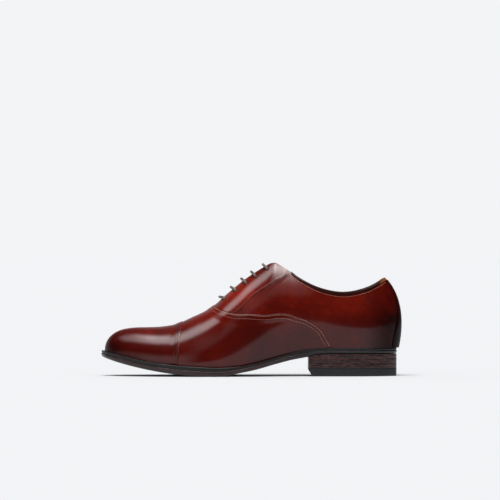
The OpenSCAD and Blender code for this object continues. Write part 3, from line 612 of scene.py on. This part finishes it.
def heel_outline(inset, x_front):
    s = np.concatenate([np.linspace(57, 88, 12), np.linspace(90, 160, 40)])
    left, right = edge_point(s, -1.0, inset + 0 * s), edge_point(s, 1.0, inset + 0 * s)
    breast = [mix(right[0], left[0], v) for v in (0.06, 0.25, 0.5, 0.75, 0.94)]
    loop = np.concatenate([left, right[-2::-1], breast])
    loop[:, 0] = np.maximum(loop[:, 0], x_front)
    return loop


BREAST = 57.0
LIFTS = 3


def make_lift(index):
    height = (HEEL_HIGH - TOP_PIECE) / LIFTS
    low = TOP_PIECE + index * height
    high = low + height
    levels = [(0.14, low + 0.04, 0.1), (0.04, low + 0.08, 0.03), (0, low + 0.2, 0), (0, high - 0.2, 0),
              (0.04, high - 0.04, 0.03), (0.14, high, 0.1)]
    rings = []
    for inset, z, back in levels:
        loop = heel_outline(0.36 + inset, BREAST + back)
        rings.append(lifted(loop, np.minimum(z, sole_low(loop[:, 0]) - 0.12 + 0.5 * (z - high))))
    return sweep(f"heel_lift_{index + 1}_leather", rings)


def make_top_piece():
    levels = [(0.95, 0, 0.7), (0.5, 0.12, 0.3), (0.2, 0.45, 0.1), (0.05, 1.1, 0), (0, 2.4, 0), (0, 4.6, 0),
              (0, 6.3, 0), (0, TOP_PIECE - 0.4, 0), (0.12, TOP_PIECE - 0.1, 0.05), (0.4, TOP_PIECE, 0.2)]
    rings = []
    for inset, z, back in levels:
        front = BREAST + back + 3.9 * max(0.0, 1 - z / 6.3)
        rings.append(lifted(heel_outline(0.36 + inset, front), z))
    return sweep("top_piece_rubber", rings)


def make_sock():
    base = LEATHER + AIR + 0.2 + INSOLE + 0.2
    s = OUTLINE[2:-2]
    inset = -lining_top(s) + FACET_ROOM + LINING + AIR + 0.5 + 0.3
    left, right = inner_point(s, -1.0, inset), inner_point(s, 1.0, inset)
    across = np.array([0, 0.02, 0.06, 0.2, 0.35, 0.5, 0.65, 0.8, 0.94, 0.98, 1])
    plan = np.stack([mix(left, right, v) for v in across], 1)
    crown = np.array([0.45, 0.75, 0.8, 0.8, 0.8, 0.8, 0.8, 0.8, 0.8, 0.75, 0.45])
    ground = sole_top(plan[..., 0]) + base
    return sheet("sock_leather", lifted(plan, ground + crown), lifted(plan, ground))


# ---- lace ----
lace_in = -LEATHER - AIR - FACET_ROOM - LINING - 0.35 - LACE / 2
lace_out = 0.4 + LACE / 2
pass_by = LACE / 2 + 0.3


def bar(k, side):
    here, there = eyelet_frame(k, side), eyelet_frame(k, -side)
    over = [skin(eyelets[k][0] - 3.2, 1, way, lace_out + 0.9) for way in (side, -side)]
    through_here = [in_frame(here, lace_in), in_frame(here, lace_out)]
    return [*through_here, *over, in_frame(there, lace_out), in_frame(there, lace_in)]


def run_by(k, side, to_edge):
    return in_frame(eyelet_frame(k, side), lace_in, 0, to_edge)


def lace_tail(k, side):
    return in_frame(eyelet_frame(k, side), lace_in - 0.25, 2, -5)


def lace_route():
    return np.array([
        lace_tail(3, -1), *bar(3, -1), run_by(2, 1, -2 * pass_by), *bar(1, 1), *bar(0, -1),
        run_by(1, 1, 2 * pass_by), *bar(2, 1), run_by(3, -1, 2 * pass_by), *bar(4, -1), lace_tail(4, 1),
    ])


def rounded(path, reach, steps=9):
    out = [path[0]]
    for before, here, after in zip(path, path[1:], path[2:]):
        a, b = before - here, after - here
        d = min(reach, 0.46 * np.linalg.norm(a), 0.46 * np.linalg.norm(b))
        p, q = here + unit(a) * d, here + unit(b) * d
        out += [mix(mix(p, here, u), mix(here, q, u), u) for u in np.linspace(0, 1, steps)]
    return np.array(out + [path[-1]])


def travelled(path):
    """Length along the path at each of its points."""
    return np.concatenate([[0], np.cumsum(np.linalg.norm(np.diff(path, axis=0), axis=1))])


def evenly(path, gap):
    """The path again in even steps, and its length."""
    far = travelled(path)
    at = np.linspace(0, far[-1], max(3, round(far[-1] / gap) + 1))
    return np.column_stack([np.interp(at, far, path[:, k]) for k in range(3)]), far[-1]


def tube(name, path, diameter, sides=14):
    """A round cord along a path, with its length in millimetres and its turn kept as UV."""
    ahead = unit(np.gradient(path, axis=0))
    up = unit(np.cross(ahead[0], (0.3, 0.2, 1.0)))
    rings = []
    for p, h in zip(path, ahead):
        up = unit(up - h * (up @ h))
        turn = np.radians(np.arange(sides) * 360 / sides)[:, None]
        rings.append(p + (up * np.cos(turn) + np.cross(h, up) * np.sin(turn)) * (diameter / 2))
    obj = sweep(name, rings)
    far = travelled(path)
    layer = obj.data.uv_layers.new(name="cord")
    for face in obj.data.polygons:
        places = [divmod(obj.data.loops[i].vertex_index, sides) for i in face.loop_indices]
        wraps = max(b for _, b in places) == sides - 1 and min(b for _, b in places) == 0
        for i, (a, b) in zip(face.loop_indices, places):
            around = b + sides if wraps and b == 0 else b
            layer.data[i].uv = (far[min(a, len(far) - 1)], around / sides)
    return obj


end_routes = {
    -1: (3, [(13, 0.7), (20, 0.58), (30, 0.45), (42, 0.33), (54, 0.22), (64, 0.15), (74, 0.13), (84, 0.13)]),
    1: (4, [(26, 0.68), (33, 0.56), (43, 0.42), (53, 0.3), (62, 0.2), (70, 0.15), (78, 0.13), (86, 0.13)]),
}


def end_path(side):
    k, route = end_routes[side]

    def hug(s):
        return lining_top(s + 14) - FACET_ROOM - LINING - 1.1 - LACE / 2

    a = lace_tail(k, side)
    b = skin(eyelets[k][0] + 6, eyelets[k][1] - 0.1, side, lace_in - 0.15)
    points = [a + unit(b - a) * 0.1, b] + [skin(s, t, side, hug(s)) for s, t in route]
    return rounded(np.array(points), 5)


def make_aglet(name, path):
    """A crimped tip: a sleeve with a rolled mouth and a rounded end."""
    start, h = path[-1], unit(path[-1] - path[-2])
    x = unit(np.cross(h, (0.0, 0.3, 1.0)))
    y = np.cross(h, x)
    r = (LACE + 0.2) / 2
    mouth = [(0.1, 0.35), (0.12, 0.08), (0.4, 0), (1.2, 0.02), (1.5, 0.16), (1.9, 0.16), (2.2, 0.02)]
    end = [(17.4, 0.02), (17.7, 0.14), (18.1, 0.14), (18.4, 0.03), (19.3, 0.12), (19.8, 0.45), (AGLET, 0.9)]
    turn = np.radians(np.arange(0, 360, 15))[:, None]
    ring = x * np.cos(turn) + y * np.sin(turn)
    return sweep(name, [start + h * d + ring * (r - pinch) for d, pinch in mouth + end])


# ---- stitching ----
# rings of one stitch: share along it, share of its thickness, rise out of the leather
STITCH = [
    (-0.5, 0.34, -0.2), (-0.4, 0.82, 0.02), (-0.15, 1, 0.1),
    (0.15, 1, 0.1), (0.4, 0.82, 0.02), (0.5, 0.34, -0.2),
]
SEWN_STEP = 0.25
seam_paths = []


def make_stitches(name, rows, pitch=2.3, length=1.75, thick=0.5):
    """Sewn rows; each row is a path on the leather and the same path raised by one millimetre."""
    points, faces = [], []
    for low, high in rows:
        path, total = evenly(low, SEWN_STEP)
        raised = evenly(high, SEWN_STEP)[0]
        out = unit(raised[np.linspace(0, len(raised) - 1, len(path)).astype(int)] - path)
        seam_paths.append(path)
        for at in np.arange(pitch, total - pitch, pitch):
            i = int(at / SEWN_STEP)
            a, h, n = path[i], unit(path[min(i + 3, len(path) - 1)] - path[max(i - 3, 0)]), out[i]
            b = np.cross(h, n)
            first = len(points)
            for along, width, rise in STITCH:
                for turn in np.radians(np.arange(0, 360, 60)):
                    round_off = n * (math.cos(turn) * 0.8) + b * math.sin(turn)
                    points.append(a + h * (along * length) + n * rise + round_off * (width * thick / 2))
            for start in range(first, first + 30, 6):
                for m in range(6):
                    k = (m + 1) % 6
                    faces.append([start + m, start + k, start + 6 + k, start + 6 + m])
            faces += [[first + m for m in range(6)], [first + 30 + m for m in range(5, -1, -1)]]
    return make_mesh(name, points, faces, sharp=60)


def on_leather(s, t, side, off):
    return skin(s, t, side, off), skin(s, t, side, off + 1)


def inside_seam(edge, inner, side, gap, off):
    """A row a few millimetres inside a seam, from its own curve towards the curve inside it."""
    reach = np.linalg.norm(skin(*edge.T, side) - skin(*inner.T, side), axis=1)
    p = mix(edge, inner, (gap / reach)[:, None])
    return on_leather(p[:, 0], p[:, 1], side, off)


def cap_rows():
    t, side = arch(np.linspace(0.03, 1, 60))
    return [on_leather(cap_edge(t) - d, t, side, LAP_STEP * float(ease(-9.9, -4, -d))) for d in (1.7, 4.2)]


def vamp_rows(gap):
    at = np.linspace(0.12, 10.85, 170)
    seam, inner = through(vamp_seam[::-1], at), through(lap_inside, at)
    rise = LAP_STEP if gap < 3 else LAP_STEP * 0.75
    return [inside_seam(seam, inner, side, gap, rise) for side in (-1, 1)]


FACING_ROW = 2.4


def facing_rows():
    s = np.linspace(-15, 35.4, 120)
    t = share_on(facing_seam, s)
    rows = []
    for side in (-1, 1):
        step = np.linalg.norm(skin(s, t, side) - skin(s, t + 0.04, side), axis=1)
        rows.append(on_leather(s + 0.9, t - 0.04 * FACING_ROW / step, side, LAP_STEP * 0.98))
    return rows


def collar_rows():
    rows = []
    for side in (-1, 1):
        s = np.linspace(41, 155, 170)
        step = np.linalg.norm(skin(s, 0.999, side) - skin(s, 0.95, side), axis=1)
        rows.append(on_leather(s, 0.999 - 0.05 * (BINDING_HEIGHT + 1.3) / step, side, 0.1))
    return rows


# ---- materials ----
def new_material(name):
    material = bpy.data.materials.new(name)
    material.use_nodes = True
    tree = material.node_tree
    return material, tree, tree.nodes["Principled BSDF"]


def put(tree, kind, settings=None, **inputs):
    """A node with its settings and inputs; an input may be a value or another node's output."""
    node = tree.nodes.new(kind)
    for key, value in (settings or {}).items():
        setattr(node, key, value)
    for key, value in inputs.items():
        socket = node.inputs[int(key[1:]) if key[0] == "_" and key[1:].isdigit() else key.replace("_", " ")]
        if isinstance(value, bpy.types.NodeSocket):
            tree.links.new(value, socket)
        else:
            socket.default_value = value
    return node


def noise(tree, scale, detail=3.0, rough=0.55, vector=None, warp=0.0):
    where = vector or put(tree, "ShaderNodeTexCoord").outputs["Object"]
    look = {"Scale": scale, "Detail": detail, "Roughness": rough, "Distortion": warp}
    return put(tree, "ShaderNodeTexNoise", Vector=where, **look).outputs["Fac"]


def ramp(tree, fac, *stops):
    node = put(tree, "ShaderNodeValToRGB", Fac=fac)
    rows = node.color_ramp.elements
    while len(rows) < len(stops):
        rows.new(0.5)
    for row, (place, colour) in zip(rows, stops):
        row.position = place
        row.color = (*colour, 1)
    return node.outputs["Color"]


def math_node(tree, how, a, b=0.0):
    return put(tree, "ShaderNodeMath", {"operation": how}, _0=a, _1=b).outputs[0]


def plus(tree, a, b):
    return math_node(tree, "ADD", a, b)


def times(tree, a, b):
    return math_node(tree, "MULTIPLY", a, b)


def spread(tree, value, low, high):
    """The value, from 0 to 1, drawn out to the range low to high."""
    return put(tree, "ShaderNodeMapRange", Value=value, _3=low, _4=high).outputs[0]


def painted(tree, key):
    return put(tree, "ShaderNodeAttribute", {"attribute_name": key}).outputs["Fac"]


def blend_colour(tree, fac, a, b):
    node = put(tree, "ShaderNodeMix", {"data_type": "RGBA"})
    for socket, value in ((node.inputs["Factor"], fac), (node.inputs[6], a), (node.inputs[7], b)):
        if isinstance(value, bpy.types.NodeSocket):
            tree.links.new(value, socket)
        else:
            socket.default_value = (*value, 1) if isinstance(value, tuple) else value
    return node.outputs[2]


def finish(tree, bsdf, colour, rough, height, bump, distance=0.0002, coat=0.0, coat_rough=0.1, sheen=0.0,
           metal=0.0, shine=0.5):
    tree.links.new(colour, bsdf.inputs["Base Color"])
    tree.links.new(rough, bsdf.inputs["Roughness"])
    normal = put(tree, "ShaderNodeBump", Height=height, Strength=bump, Distance=distance).outputs["Normal"]
    tree.links.new(normal, bsdf.inputs["Normal"])
    bsdf.inputs["Specular IOR Level"].default_value = shine
    bsdf.inputs["Coat Weight"].default_value = coat
    bsdf.inputs["Coat Roughness"].default_value = coat_rough
    bsdf.inputs["Sheen Weight"].default_value = sheen
    bsdf.inputs["Metallic"].default_value = metal


def leather_grain(tree):
    """Fine calf grain: pores, a faint pebble and slow waves of the hide."""
    cells = put(tree, "ShaderNodeTexVoronoi", {"feature": "DISTANCE_TO_EDGE"}, Scale=1500.0,
                Vector=put(tree, "ShaderNodeTexCoord").outputs["Object"]).outputs["Distance"]
    waves = times(tree, noise(tree, 70, 3, 0.6), 1.7)
    pebble = times(tree, noise(tree, 520, 2), 0.5)
    return plus(tree, plus(tree, times(tree, cells, 0.8), waves), pebble)


def polished_leather(name, bright, middle, dark, coat=0.7):
    """Hand-burnished calf: a tone that holds burnish with painted light and shade, 'seam' and 'gloss' are
    painted on the mesh, and noise breaks them up.
    """
    material, tree, bsdf = new_material(name)
    cloud = math_node(tree, "SUBTRACT", noise(tree, 34, 5, 0.62, warp=0.6), 0.5)
    mottle = math_node(tree, "SUBTRACT", noise(tree, 190, 3, 0.6), 0.5)
    broken = plus(tree, times(tree, cloud, 0.5), times(tree, mottle, 0.2))
    # the colour follows burnish with painted light and shade, broken up by noise
    shade = plus(tree, painted(tree, "tone_and_painted_light"), broken)
    colour = ramp(tree, shade, (0.0, bright), (0.5, middle), (1.0, dark))
    seam_shade = tuple(c * 0.5 for c in dark)
    colour = blend_colour(tree, times(tree, painted(tree, "seam"), 0.55), colour, seam_shade)
    rough = spread(tree, noise(tree, 120, 4), 0.34, 0.5)
    finish(tree, bsdf, colour, rough, leather_grain(tree), 0.16, coat=coat, coat_rough=0.13, shine=0.04)
    tree.links.new(times(tree, painted(tree, "gloss"), coat), bsdf.inputs["Coat Weight"])
    return material


def plain_leather(name, light, dark, rough_low=0.5, rough_high=0.7, bump=0.25):
    """Lining, sock and flesh side: an even, matt hide."""
    material, tree, bsdf = new_material(name)
    colour = ramp(tree, noise(tree, 60, 5, 0.65, warp=0.4), (0.28, dark), (0.72, light))
    rough = spread(tree, noise(tree, 300, 3), rough_low, rough_high)
    finish(tree, bsdf, colour, rough, leather_grain(tree), bump, sheen=0.1)
    return material


def cut_edge(name, light, dark):
    """The raw edge of a cut hide: fibres in fine layers."""
    material, tree, bsdf = new_material(name)
    fibres = noise(tree, 900, 4, 0.7)
    colour = ramp(tree, fibres, (0.3, dark), (0.7, light))
    finish(tree, bsdf, colour, spread(tree, fibres, 0.6, 0.85), fibres, 0.4)
    return material


def layers(tree, stretch, scale, warp):
    """Noise drawn out along the ground, for stacked or rolled material."""
    where = put(tree, "ShaderNodeTexCoord").outputs["Object"]
    drawn = put(tree, "ShaderNodeMapping", Vector=where, Scale=(1, 1, stretch)).outputs[0]
    return noise(tree, scale, 5, 0.62, vector=drawn, warp=warp)


def stacked_leather(name):
    """Edges of stacked lifts: dark, with fine broken pinkish streaks."""
    material, tree, bsdf = new_material(name)
    bands = layers(tree, 6.0, 130.0, 1.3)
    fine = layers(tree, 4.0, 330.0, 0.6)
    both = plus(tree, times(tree, bands, 0.62), times(tree, fine, 0.38))
    colour = ramp(tree, both, (0.38, (0.006, 0.0025, 0.0025)), (0.5, (0.018, 0.006, 0.006)),
                  (0.58, (0.1, 0.04, 0.04)), (0.66, (0.026, 0.009, 0.009)))
    rough = spread(tree, both, 0.3, 0.55)
    finish(tree, bsdf, colour, rough, both, 0.5, distance=0.0004, coat=0.12, coat_rough=0.3, shine=0.3)
    return material


def edge_dressing(name, light, dark, rough=0.32, coat=0.4):
    """Waxed and inked edge of a sole, with faint lines along it, blacker at the heel."""
    material, tree, bsdf = new_material(name)
    lines = layers(tree, 9.0, 90.0, 0.2)
    colour = ramp(tree, lines, (0.3, dark), (0.75, light))
    colour = blend_colour(tree, times(tree, painted(tree, "rear"), 0.92), colour, (0.006, 0.005, 0.005))
    gloss = spread(tree, noise(tree, 160, 4), rough - 0.06, rough + 0.12)
    finish(tree, bsdf, colour, gloss, lines, 0.25, distance=0.0003, coat=coat, coat_rough=0.2, shine=0.3)
    return material


def rubber(name):
    material, tree, bsdf = new_material(name)
    grain = noise(tree, 1300, 3, 0.6)
    colour = ramp(tree, noise(tree, 45, 5), (0.3, (0.006, 0.006, 0.007)), (0.7, (0.012, 0.012, 0.0135)))
    finish(tree, bsdf, colour, spread(tree, grain, 0.42, 0.62), grain, 0.35)
    return material


def thread(name, light, dark):
    material, tree, bsdf = new_material(name)
    twist = noise(tree, 2400, 2, 0.5)
    colour = ramp(tree, twist, (0.3, dark), (0.7, light))
    finish(tree, bsdf, colour, spread(tree, twist, 0.5, 0.7), twist, 0.4)
    return material


def waxed_cord(name):
    """Round braid: two sets of strands crossing, with painted shade darker between the strands, and paler
    crests that are partly wear and partly painted highlight.
    """
    material, tree, bsdf = new_material(name)
    uv = put(tree, "ShaderNodeSeparateXYZ", Vector=put(tree, "ShaderNodeTexCoord").outputs["UV"])
    along = times(tree, uv.outputs[0], 2 * math.pi / 1.7)
    around = times(tree, uv.outputs[1], 2 * math.pi * 4)
    one = math_node(tree, "SINE", plus(tree, along, around))
    two = math_node(tree, "SINE", math_node(tree, "SUBTRACT", along, around))
    weave = plus(tree, times(tree, times(tree, one, two), 0.5), 0.5)
    # painted shade between the strands and paler crests, part wear and part painted highlight
    braid_shade_and_wear = plus(tree, times(tree, weave, 0.6), times(tree, noise(tree, 900, 3), 0.4))
    colour = ramp(tree, braid_shade_and_wear, (0.1, (0.02, 0.013, 0.011)), (0.45, (0.085, 0.06, 0.052)),
                  (0.85, (0.3, 0.235, 0.205)))
    rough = spread(tree, braid_shade_and_wear, 0.5, 0.34)
    finish(tree, bsdf, colour, rough, weave, 0.7, distance=0.0003, coat=0.15, coat_rough=0.3)
    return material


def speckled(name, light, dark, scale, rough=0.8, metal=0.0):
    """Cork, board, steel and stiffened cloth, told apart by scale and colour."""
    material, tree, bsdf = new_material(name)
    crumbs = noise(tree, scale, 5, 0.7)
    colour = ramp(tree, crumbs, (0.35, dark), (0.65, light))
    finish(tree, bsdf, colour, spread(tree, crumbs, rough, rough - 0.15), crumbs, 0.5, metal=metal)
    return material


def paint(obj, facing_light=0.0):
    """Writes what the leathers read at each point: a tone of burnish with painted light and shade, nearness
    to a seam, rear end and gloss.

    A low value is pale. It is low on the ridge, high on the walls, on the back of the quarter and on the
    facing, as painted light; high at the toe and the heel, as burnishing with painted shade; and raised on
    the lower toe and the lower waist wall, as painted shade.
    The facing argument pales the top of the facing, beside the lace, as painted light. Distances are in
    millimetres, with x towards the heel.
    """
    mesh = obj.data
    co = np.zeros(len(mesh.vertices) * 3, np.float32)
    mesh.vertices.foreach_get("co", co)
    x, y, z = (co.reshape(-1, 3) / MM).T
    crown = ease(26, 46, z)
    # darker at the toe tip, as burnishing with painted shade, and below the crown of the toe and vamp, as
    # painted shade
    toe = (1 - ease(-150, -96, x)) * 0.2 + (1 - ease(-96, -40, x)) * (1 - crown) * 0.2
    # darker towards the back of the heel and more so low down: burnishing with painted shade
    heel = ease(104, 146, x) * (0.2 + 0.8 * (1 - ease(48, 88, z)))
    # painted shade: darker low on the walls of the waist
    lower_wall_painted_shade = (1 - ease(38, 66, z)) * ease(-50, 10, x) * 0.22
    # painted light: paler along the ridge of the toe and vamp, and a little paler high on the walls
    ridge = ease(44, 64, z) * (1 - ease(-60, 30, x)) * 0.22
    upper = ease(66, 78, z) * (1 - ease(96, 130, x)) * 0.04
    # painted light: a paler patch high on the back of the quarter
    quarter_painted_light = ease(78, 96, x) * (1 - ease(104, 124, x)) * ease(56, 68, z) * 0.12
    # painted light: the top of the facing, beside the lace, paler
    lacing_painted_light = facing_light * ease(70, 84, z) * (1 - ease(-14, 12, x))
    # the sum of burnishing, painted shade and painted light
    tone_and_painted_light = 0.5 + toe + 0.5 * heel + lower_wall_painted_shade - (ridge + upper) - quarter_painted_light - lacing_painted_light
    if obj.name == "collar_binding_leather":
        # dark, and paler over the top of the heel
        tone_and_painted_light = 0.75 - 0.48 * ease(120, 134, x)
    near = np.full(len(x), 9.0)
    if seam_paths:
        seams = np.concatenate([p[::3] for p in seam_paths]).astype(np.float32)
        here = np.stack([x, y, z], -1)
        for i in range(0, len(here), 2000):
            gap = here[i:i + 2000, None] - seams[None]
            near[i:i + 2000] = np.sqrt((gap * gap).sum(-1).min(1))
    soft = {"tone_and_painted_light": np.clip(tone_and_painted_light, 0, 1), "seam": np.exp(-((near / 0.7) ** 2)), "rear": ease(30, 60, x),
            "gloss": (0.4 + 0.6 * ease(-128, -96, x)) * (1 - 0.8 * ease(112, 138, x))}
    for key, values in soft.items():
        layer = mesh.attributes.new(key, "FLOAT", "POINT")
        layer.data.foreach_set("value", values.astype(np.float32))


# ---- camera, floor and light ----
def studio():
    """Pale floor, a soft sun high in front, and soft boxes overhead and to the left, seen as reflections."""
    camera = bpy.data.objects.new("camera", bpy.data.cameras.new("camera"))
    camera.location = (-0.0012, -5.0, 0.1257)
    camera.rotation_euler = (math.radians(90), 0, 0)
    camera.data.lens, camera.data.sensor_width = 360, 36
    camera.data.clip_start, camera.data.clip_end = 0.05, 300
    scene.collection.objects.link(camera)
    scene.camera = camera
    scene.view_settings.view_transform = "Standard"

    lamp = bpy.data.lights.new("sun", "SUN")
    lamp.energy, lamp.angle = 2.63, math.radians(34)
    sun = bpy.data.objects.new("sun", lamp)
    sun.rotation_euler = (math.radians(24), math.radians(-5), 0)
    sun.visible_glossy = False
    scene.collection.objects.link(sun)

    world = bpy.data.worlds.new("studio")
    world.use_nodes = True
    scene.world = world
    tree = world.node_tree
    tree.nodes.clear()
    way = put(tree, "ShaderNodeSeparateXYZ", Vector=put(tree, "ShaderNodeTexCoord").outputs["Generated"])
    x, y, z = way.outputs
    # degrees up from the horizon in front, over the top, to the horizon behind
    front = times(tree, math_node(tree, "ARCTAN2", z, times(tree, y, -1.0)), 180 / math.pi)
    smooth = {"interpolation_type": "SMOOTHSTEP"}

    def step(value, low, high):
        return put(tree, "ShaderNodeMapRange", smooth, Value=value, _1=low, _2=high).outputs[0]

    def band(value, a, b, c, d):
        return math_node(tree, "SUBTRACT", step(value, a, b), step(value, c, d))

    def before(value, low, high):
        return math_node(tree, "SUBTRACT", 1.0, step(value, low, high))

    def lit(strength, high, wide):
        return times(tree, times(tree, high, wide), strength)

    box = lit(5.6, band(front, 74.0, 87.0, 95.0, 116.0), band(x, -0.72, -0.48, -0.12, 0.08))
    rise = math_node(tree, "POWER", step(front, 42.0, 92.0), 2.0)
    rise = times(tree, rise, before(front, 95.0, 110.0))
    lobe = lit(12.0, rise, band(x, -0.32, -0.08, 0.3, 0.5))
    haze = lit(0.6, band(front, 30.0, 46.0, 62.0, 80.0), band(x, -0.45, -0.1, 0.35, 0.6))
    side = lit(0.95, band(front, -6.0, 2.0, 20.0, 46.0), before(x, -0.48, -0.1))
    glow = plus(tree, lit(0.5, step(front, 120.0, 175.0), before(x, 0.3, 0.7)), 0.02)
    for part in (box, lobe, haze, side):
        glow = plus(tree, glow, part)
    path = put(tree, "ShaderNodeLightPath").outputs
    seen = blend_colour(tree, path["Is Glossy Ray"], (0.295, 0.3, 0.305), glow)
    seen = blend_colour(tree, path["Is Camera Ray"], seen, (0.896, 0.905, 0.922))
    back = put(tree, "ShaderNodeBackground", Color=seen, Strength=1.0)
    tree.links.new(back.outputs[0], put(tree, "ShaderNodeOutputWorld").inputs["Surface"])

    points = [(-30, -6, 0), (30, -6, 0), (30, 90, 0), (-30, 90, 0)]
    mesh = bpy.data.meshes.new("floor")
    mesh.from_pydata(points, [], [(0, 1, 2, 3)])
    floor = bpy.data.objects.new("floor", mesh)
    scene.collection.objects.link(floor)
    material, tree, bsdf = new_material("floor_paper")
    tint = ramp(tree, noise(tree, 0.7, 2), (0.3, (0.836, 0.845, 0.861)), (0.7, (0.842, 0.851, 0.867)))
    tree.links.new(tint, bsdf.inputs["Base Color"])
    bsdf.inputs["Roughness"].default_value = 0.9
    bsdf.inputs["Specular IOR Level"].default_value = 0.0
    mesh.materials.append(material)


studio()

# ---- cords first ----
cord_wax = waxed_cord("cord_wax")
aglet_finish = speckled("aglet_finish", (0.035, 0.024, 0.02), (0.014, 0.01, 0.009), 500, rough=0.35)
SIDES = ((-1, "lateral"), (1, "medial"))
for side, word in SIDES:
    path, length = evenly(end_path(side), 1.0)
    end = tube(f"lace_tucked_{word}", path, LACE)
    tip = make_aglet(f"aglet_tip_{word}", path)
    end.data.materials.append(cord_wax)
    tip.data.materials.append(aglet_finish)
    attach(end, "shoe")
    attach(tip, "shoe")
    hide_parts(f"lace_end_{word}")
    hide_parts(f"aglet_{word}")
    few = evenly(end_path(side), length / 30)[0] * MM

# ---- pieces ----
quarter_s = np.concatenate([np.linspace(-38, 84, 70), np.linspace(86, 159.99, 46)])
inner_shares = np.concatenate([[0.06], np.linspace(0.1, 0.985, 26)])
thread_dark = thread("thread_dark", (0.055, 0.014, 0.011), (0.016, 0.004, 0.004))
thread_rose = thread("thread_rose", (0.42, 0.15, 0.11), (0.2, 0.06, 0.045))
thread_collar = thread("thread_collar", (0.5, 0.16, 0.09), (0.26, 0.06, 0.035))
thread_tan = thread("thread_tan", (0.6, 0.32, 0.2), (0.32, 0.13, 0.075))
sewn = [
    (make_stitches("cap_stitches", cap_rows()), "toe_cap", thread_dark),
    (make_stitches("facing_stitches", facing_rows()), "facing_lateral", thread_dark),
    (make_stitches("vamp_stitches_edge", vamp_rows(1.3)), "vamp", thread_tan),
    (make_stitches("vamp_stitches_inner", vamp_rows(4.9), thick=0.6), "vamp", thread_rose),
    (make_stitches("collar_stitches", collar_rows(), thick=0.62), "quarter_lateral", thread_collar),
]

calf = polished_leather(
    "calf_chestnut", (0.27, 0.0125, 0.0028), (0.078, 0.0032, 0.0012), (0.012, 0.0006, 0.0005))
calf_dark = polished_leather(
    "calf_backstay", (0.1, 0.008, 0.004), (0.035, 0.0025, 0.0015), (0.007, 0.0008, 0.0007), coat=0.35)
binding_leather = polished_leather(
    "binding_leather", (0.5, 0.17, 0.05), (0.03, 0.005, 0.003), (0.008, 0.002, 0.0015), coat=0.1)
raw_edge = cut_edge("raw_edge", (0.62, 0.24, 0.12), (0.36, 0.09, 0.045))
flesh = plain_leather("flesh_side", (0.32, 0.16, 0.09), (0.2, 0.09, 0.05), 0.75, 0.9, 0.4)
tan = plain_leather("lining_calf", (0.5, 0.27, 0.13), (0.38, 0.185, 0.085), 0.48, 0.66, 0.2)
sock_leather = plain_leather("sock_calf", (0.46, 0.25, 0.125), (0.34, 0.17, 0.08), 0.42, 0.6, 0.2)
welt_ink = edge_dressing("welt_ink", (0.014, 0.011, 0.010), (0.006, 0.0045, 0.0045), 0.45, 0.12)
sole_ink = edge_dressing("sole_ink", (0.04, 0.017, 0.018), (0.014, 0.0055, 0.006), 0.34, 0.3)
sole_bottom = plain_leather("sole_bottom", (0.07, 0.03, 0.025), (0.035, 0.014, 0.012), 0.35, 0.55, 0.2)
stack = stacked_leather("stacked_heel")
top_rubber = rubber("top_rubber")

LEATHER_SET = [calf, raw_edge, flesh]
# strength of the painted light on the top of the facing, beside the lace
FACING_PAINTED_LIGHT = 0.22
pieces = [
    (make_toe_cap(), ["toe_cap"], LEATHER_SET),
    (make_vamp(), ["vamp"], LEATHER_SET),
    (make_backstay(), ["backstay"], [calf_dark, calf_dark, flesh]),
    (make_binding(), ["collar_binding"], [binding_leather]),
    (make_vamp_lining(), ["vamp_lining"], [tan, tan, tan]),
    (make_outsole(), ["outsole"], [sole_ink, sole_bottom, flesh]),
    (make_welt(), ["welt"], [welt_ink]),
    (make_top_piece(), ["top_piece"], [top_rubber]),
    (make_sock(), ["sock"], [sock_leather, sock_leather, flesh]),
    (tube("lace_laced", evenly(rounded(lace_route(), 2.3), 0.7)[0], LACE), ["lace"], [cord_wax]),
]
for side, word in SIDES:
    quarter = make_quarter(side, f"quarter_leather_{word}")
    facing = make_facing(side, f"facing_leather_{word}")
    quarter_lining = make_lining(f"quarter_lining_leather_{word}", quarter_s, inner_shares, side)
    pieces += [
        (quarter, [f"quarter_{word}"], [calf, calf_dark, flesh]),
        (facing, [f"facing_{word}"], [calf, calf_dark, flesh]),
        (quarter_lining, [f"quarter_lining_{word}"], [tan] * 3),
    ]
pieces += [(make_lift(i), [f"heel_lift_{i + 1}"], [stack]) for i in range(LIFTS)]
for obj, replaced, finishes in pieces:
    for material in finishes:
        obj.data.materials.append(material)
    paint(obj, FACING_PAINTED_LIGHT if obj.name.startswith("facing") else 0.0)
    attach(obj, "shoe")
    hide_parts(*replaced)

for obj, slot, yarn in sewn:
    obj.data.materials.append(yarn)
    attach(obj, "shoe")

tongue = make_tongue("tongue_leather", tongue_top, TONGUE_LEATHER)
tongue_back = make_tongue("tongue_lining_leather", tongue_top - TONGUE_LEATHER - TONGUE_GAP, TONGUE_BACKING)
tongue_pieces = [(tongue, "tongue", [calf, calf_dark, flesh]), (tongue_back, "tongue_lining", [tan] * 3)]
for obj, slot, finishes in tongue_pieces:
    for material in finishes:
        obj.data.materials.append(material)
    paint(obj)
    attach(obj, "tongue_flap")
    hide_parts(slot)

carried = {
    "toe_puff": speckled("puff_cloth", (0.62, 0.56, 0.42), (0.42, 0.36, 0.26), 1400),
    "heel_counter": speckled("counter_board", (0.5, 0.42, 0.3), (0.32, 0.25, 0.17), 900),
    "cork_filler": speckled("cork", (0.42, 0.24, 0.12), (0.16, 0.08, 0.04), 420),
    "shank": speckled("shank_steel", (0.5, 0.5, 0.52), (0.3, 0.3, 0.32), 260, rough=0.4, metal=1.0),
    "insole_board": speckled("insole_board", (0.5, 0.34, 0.2), (0.33, 0.21, 0.12), 700),
}
for key, material in carried.items():
    obj = frame["nodes"][key]
    obj.data.materials.clear()
    obj.data.materials.append(material)
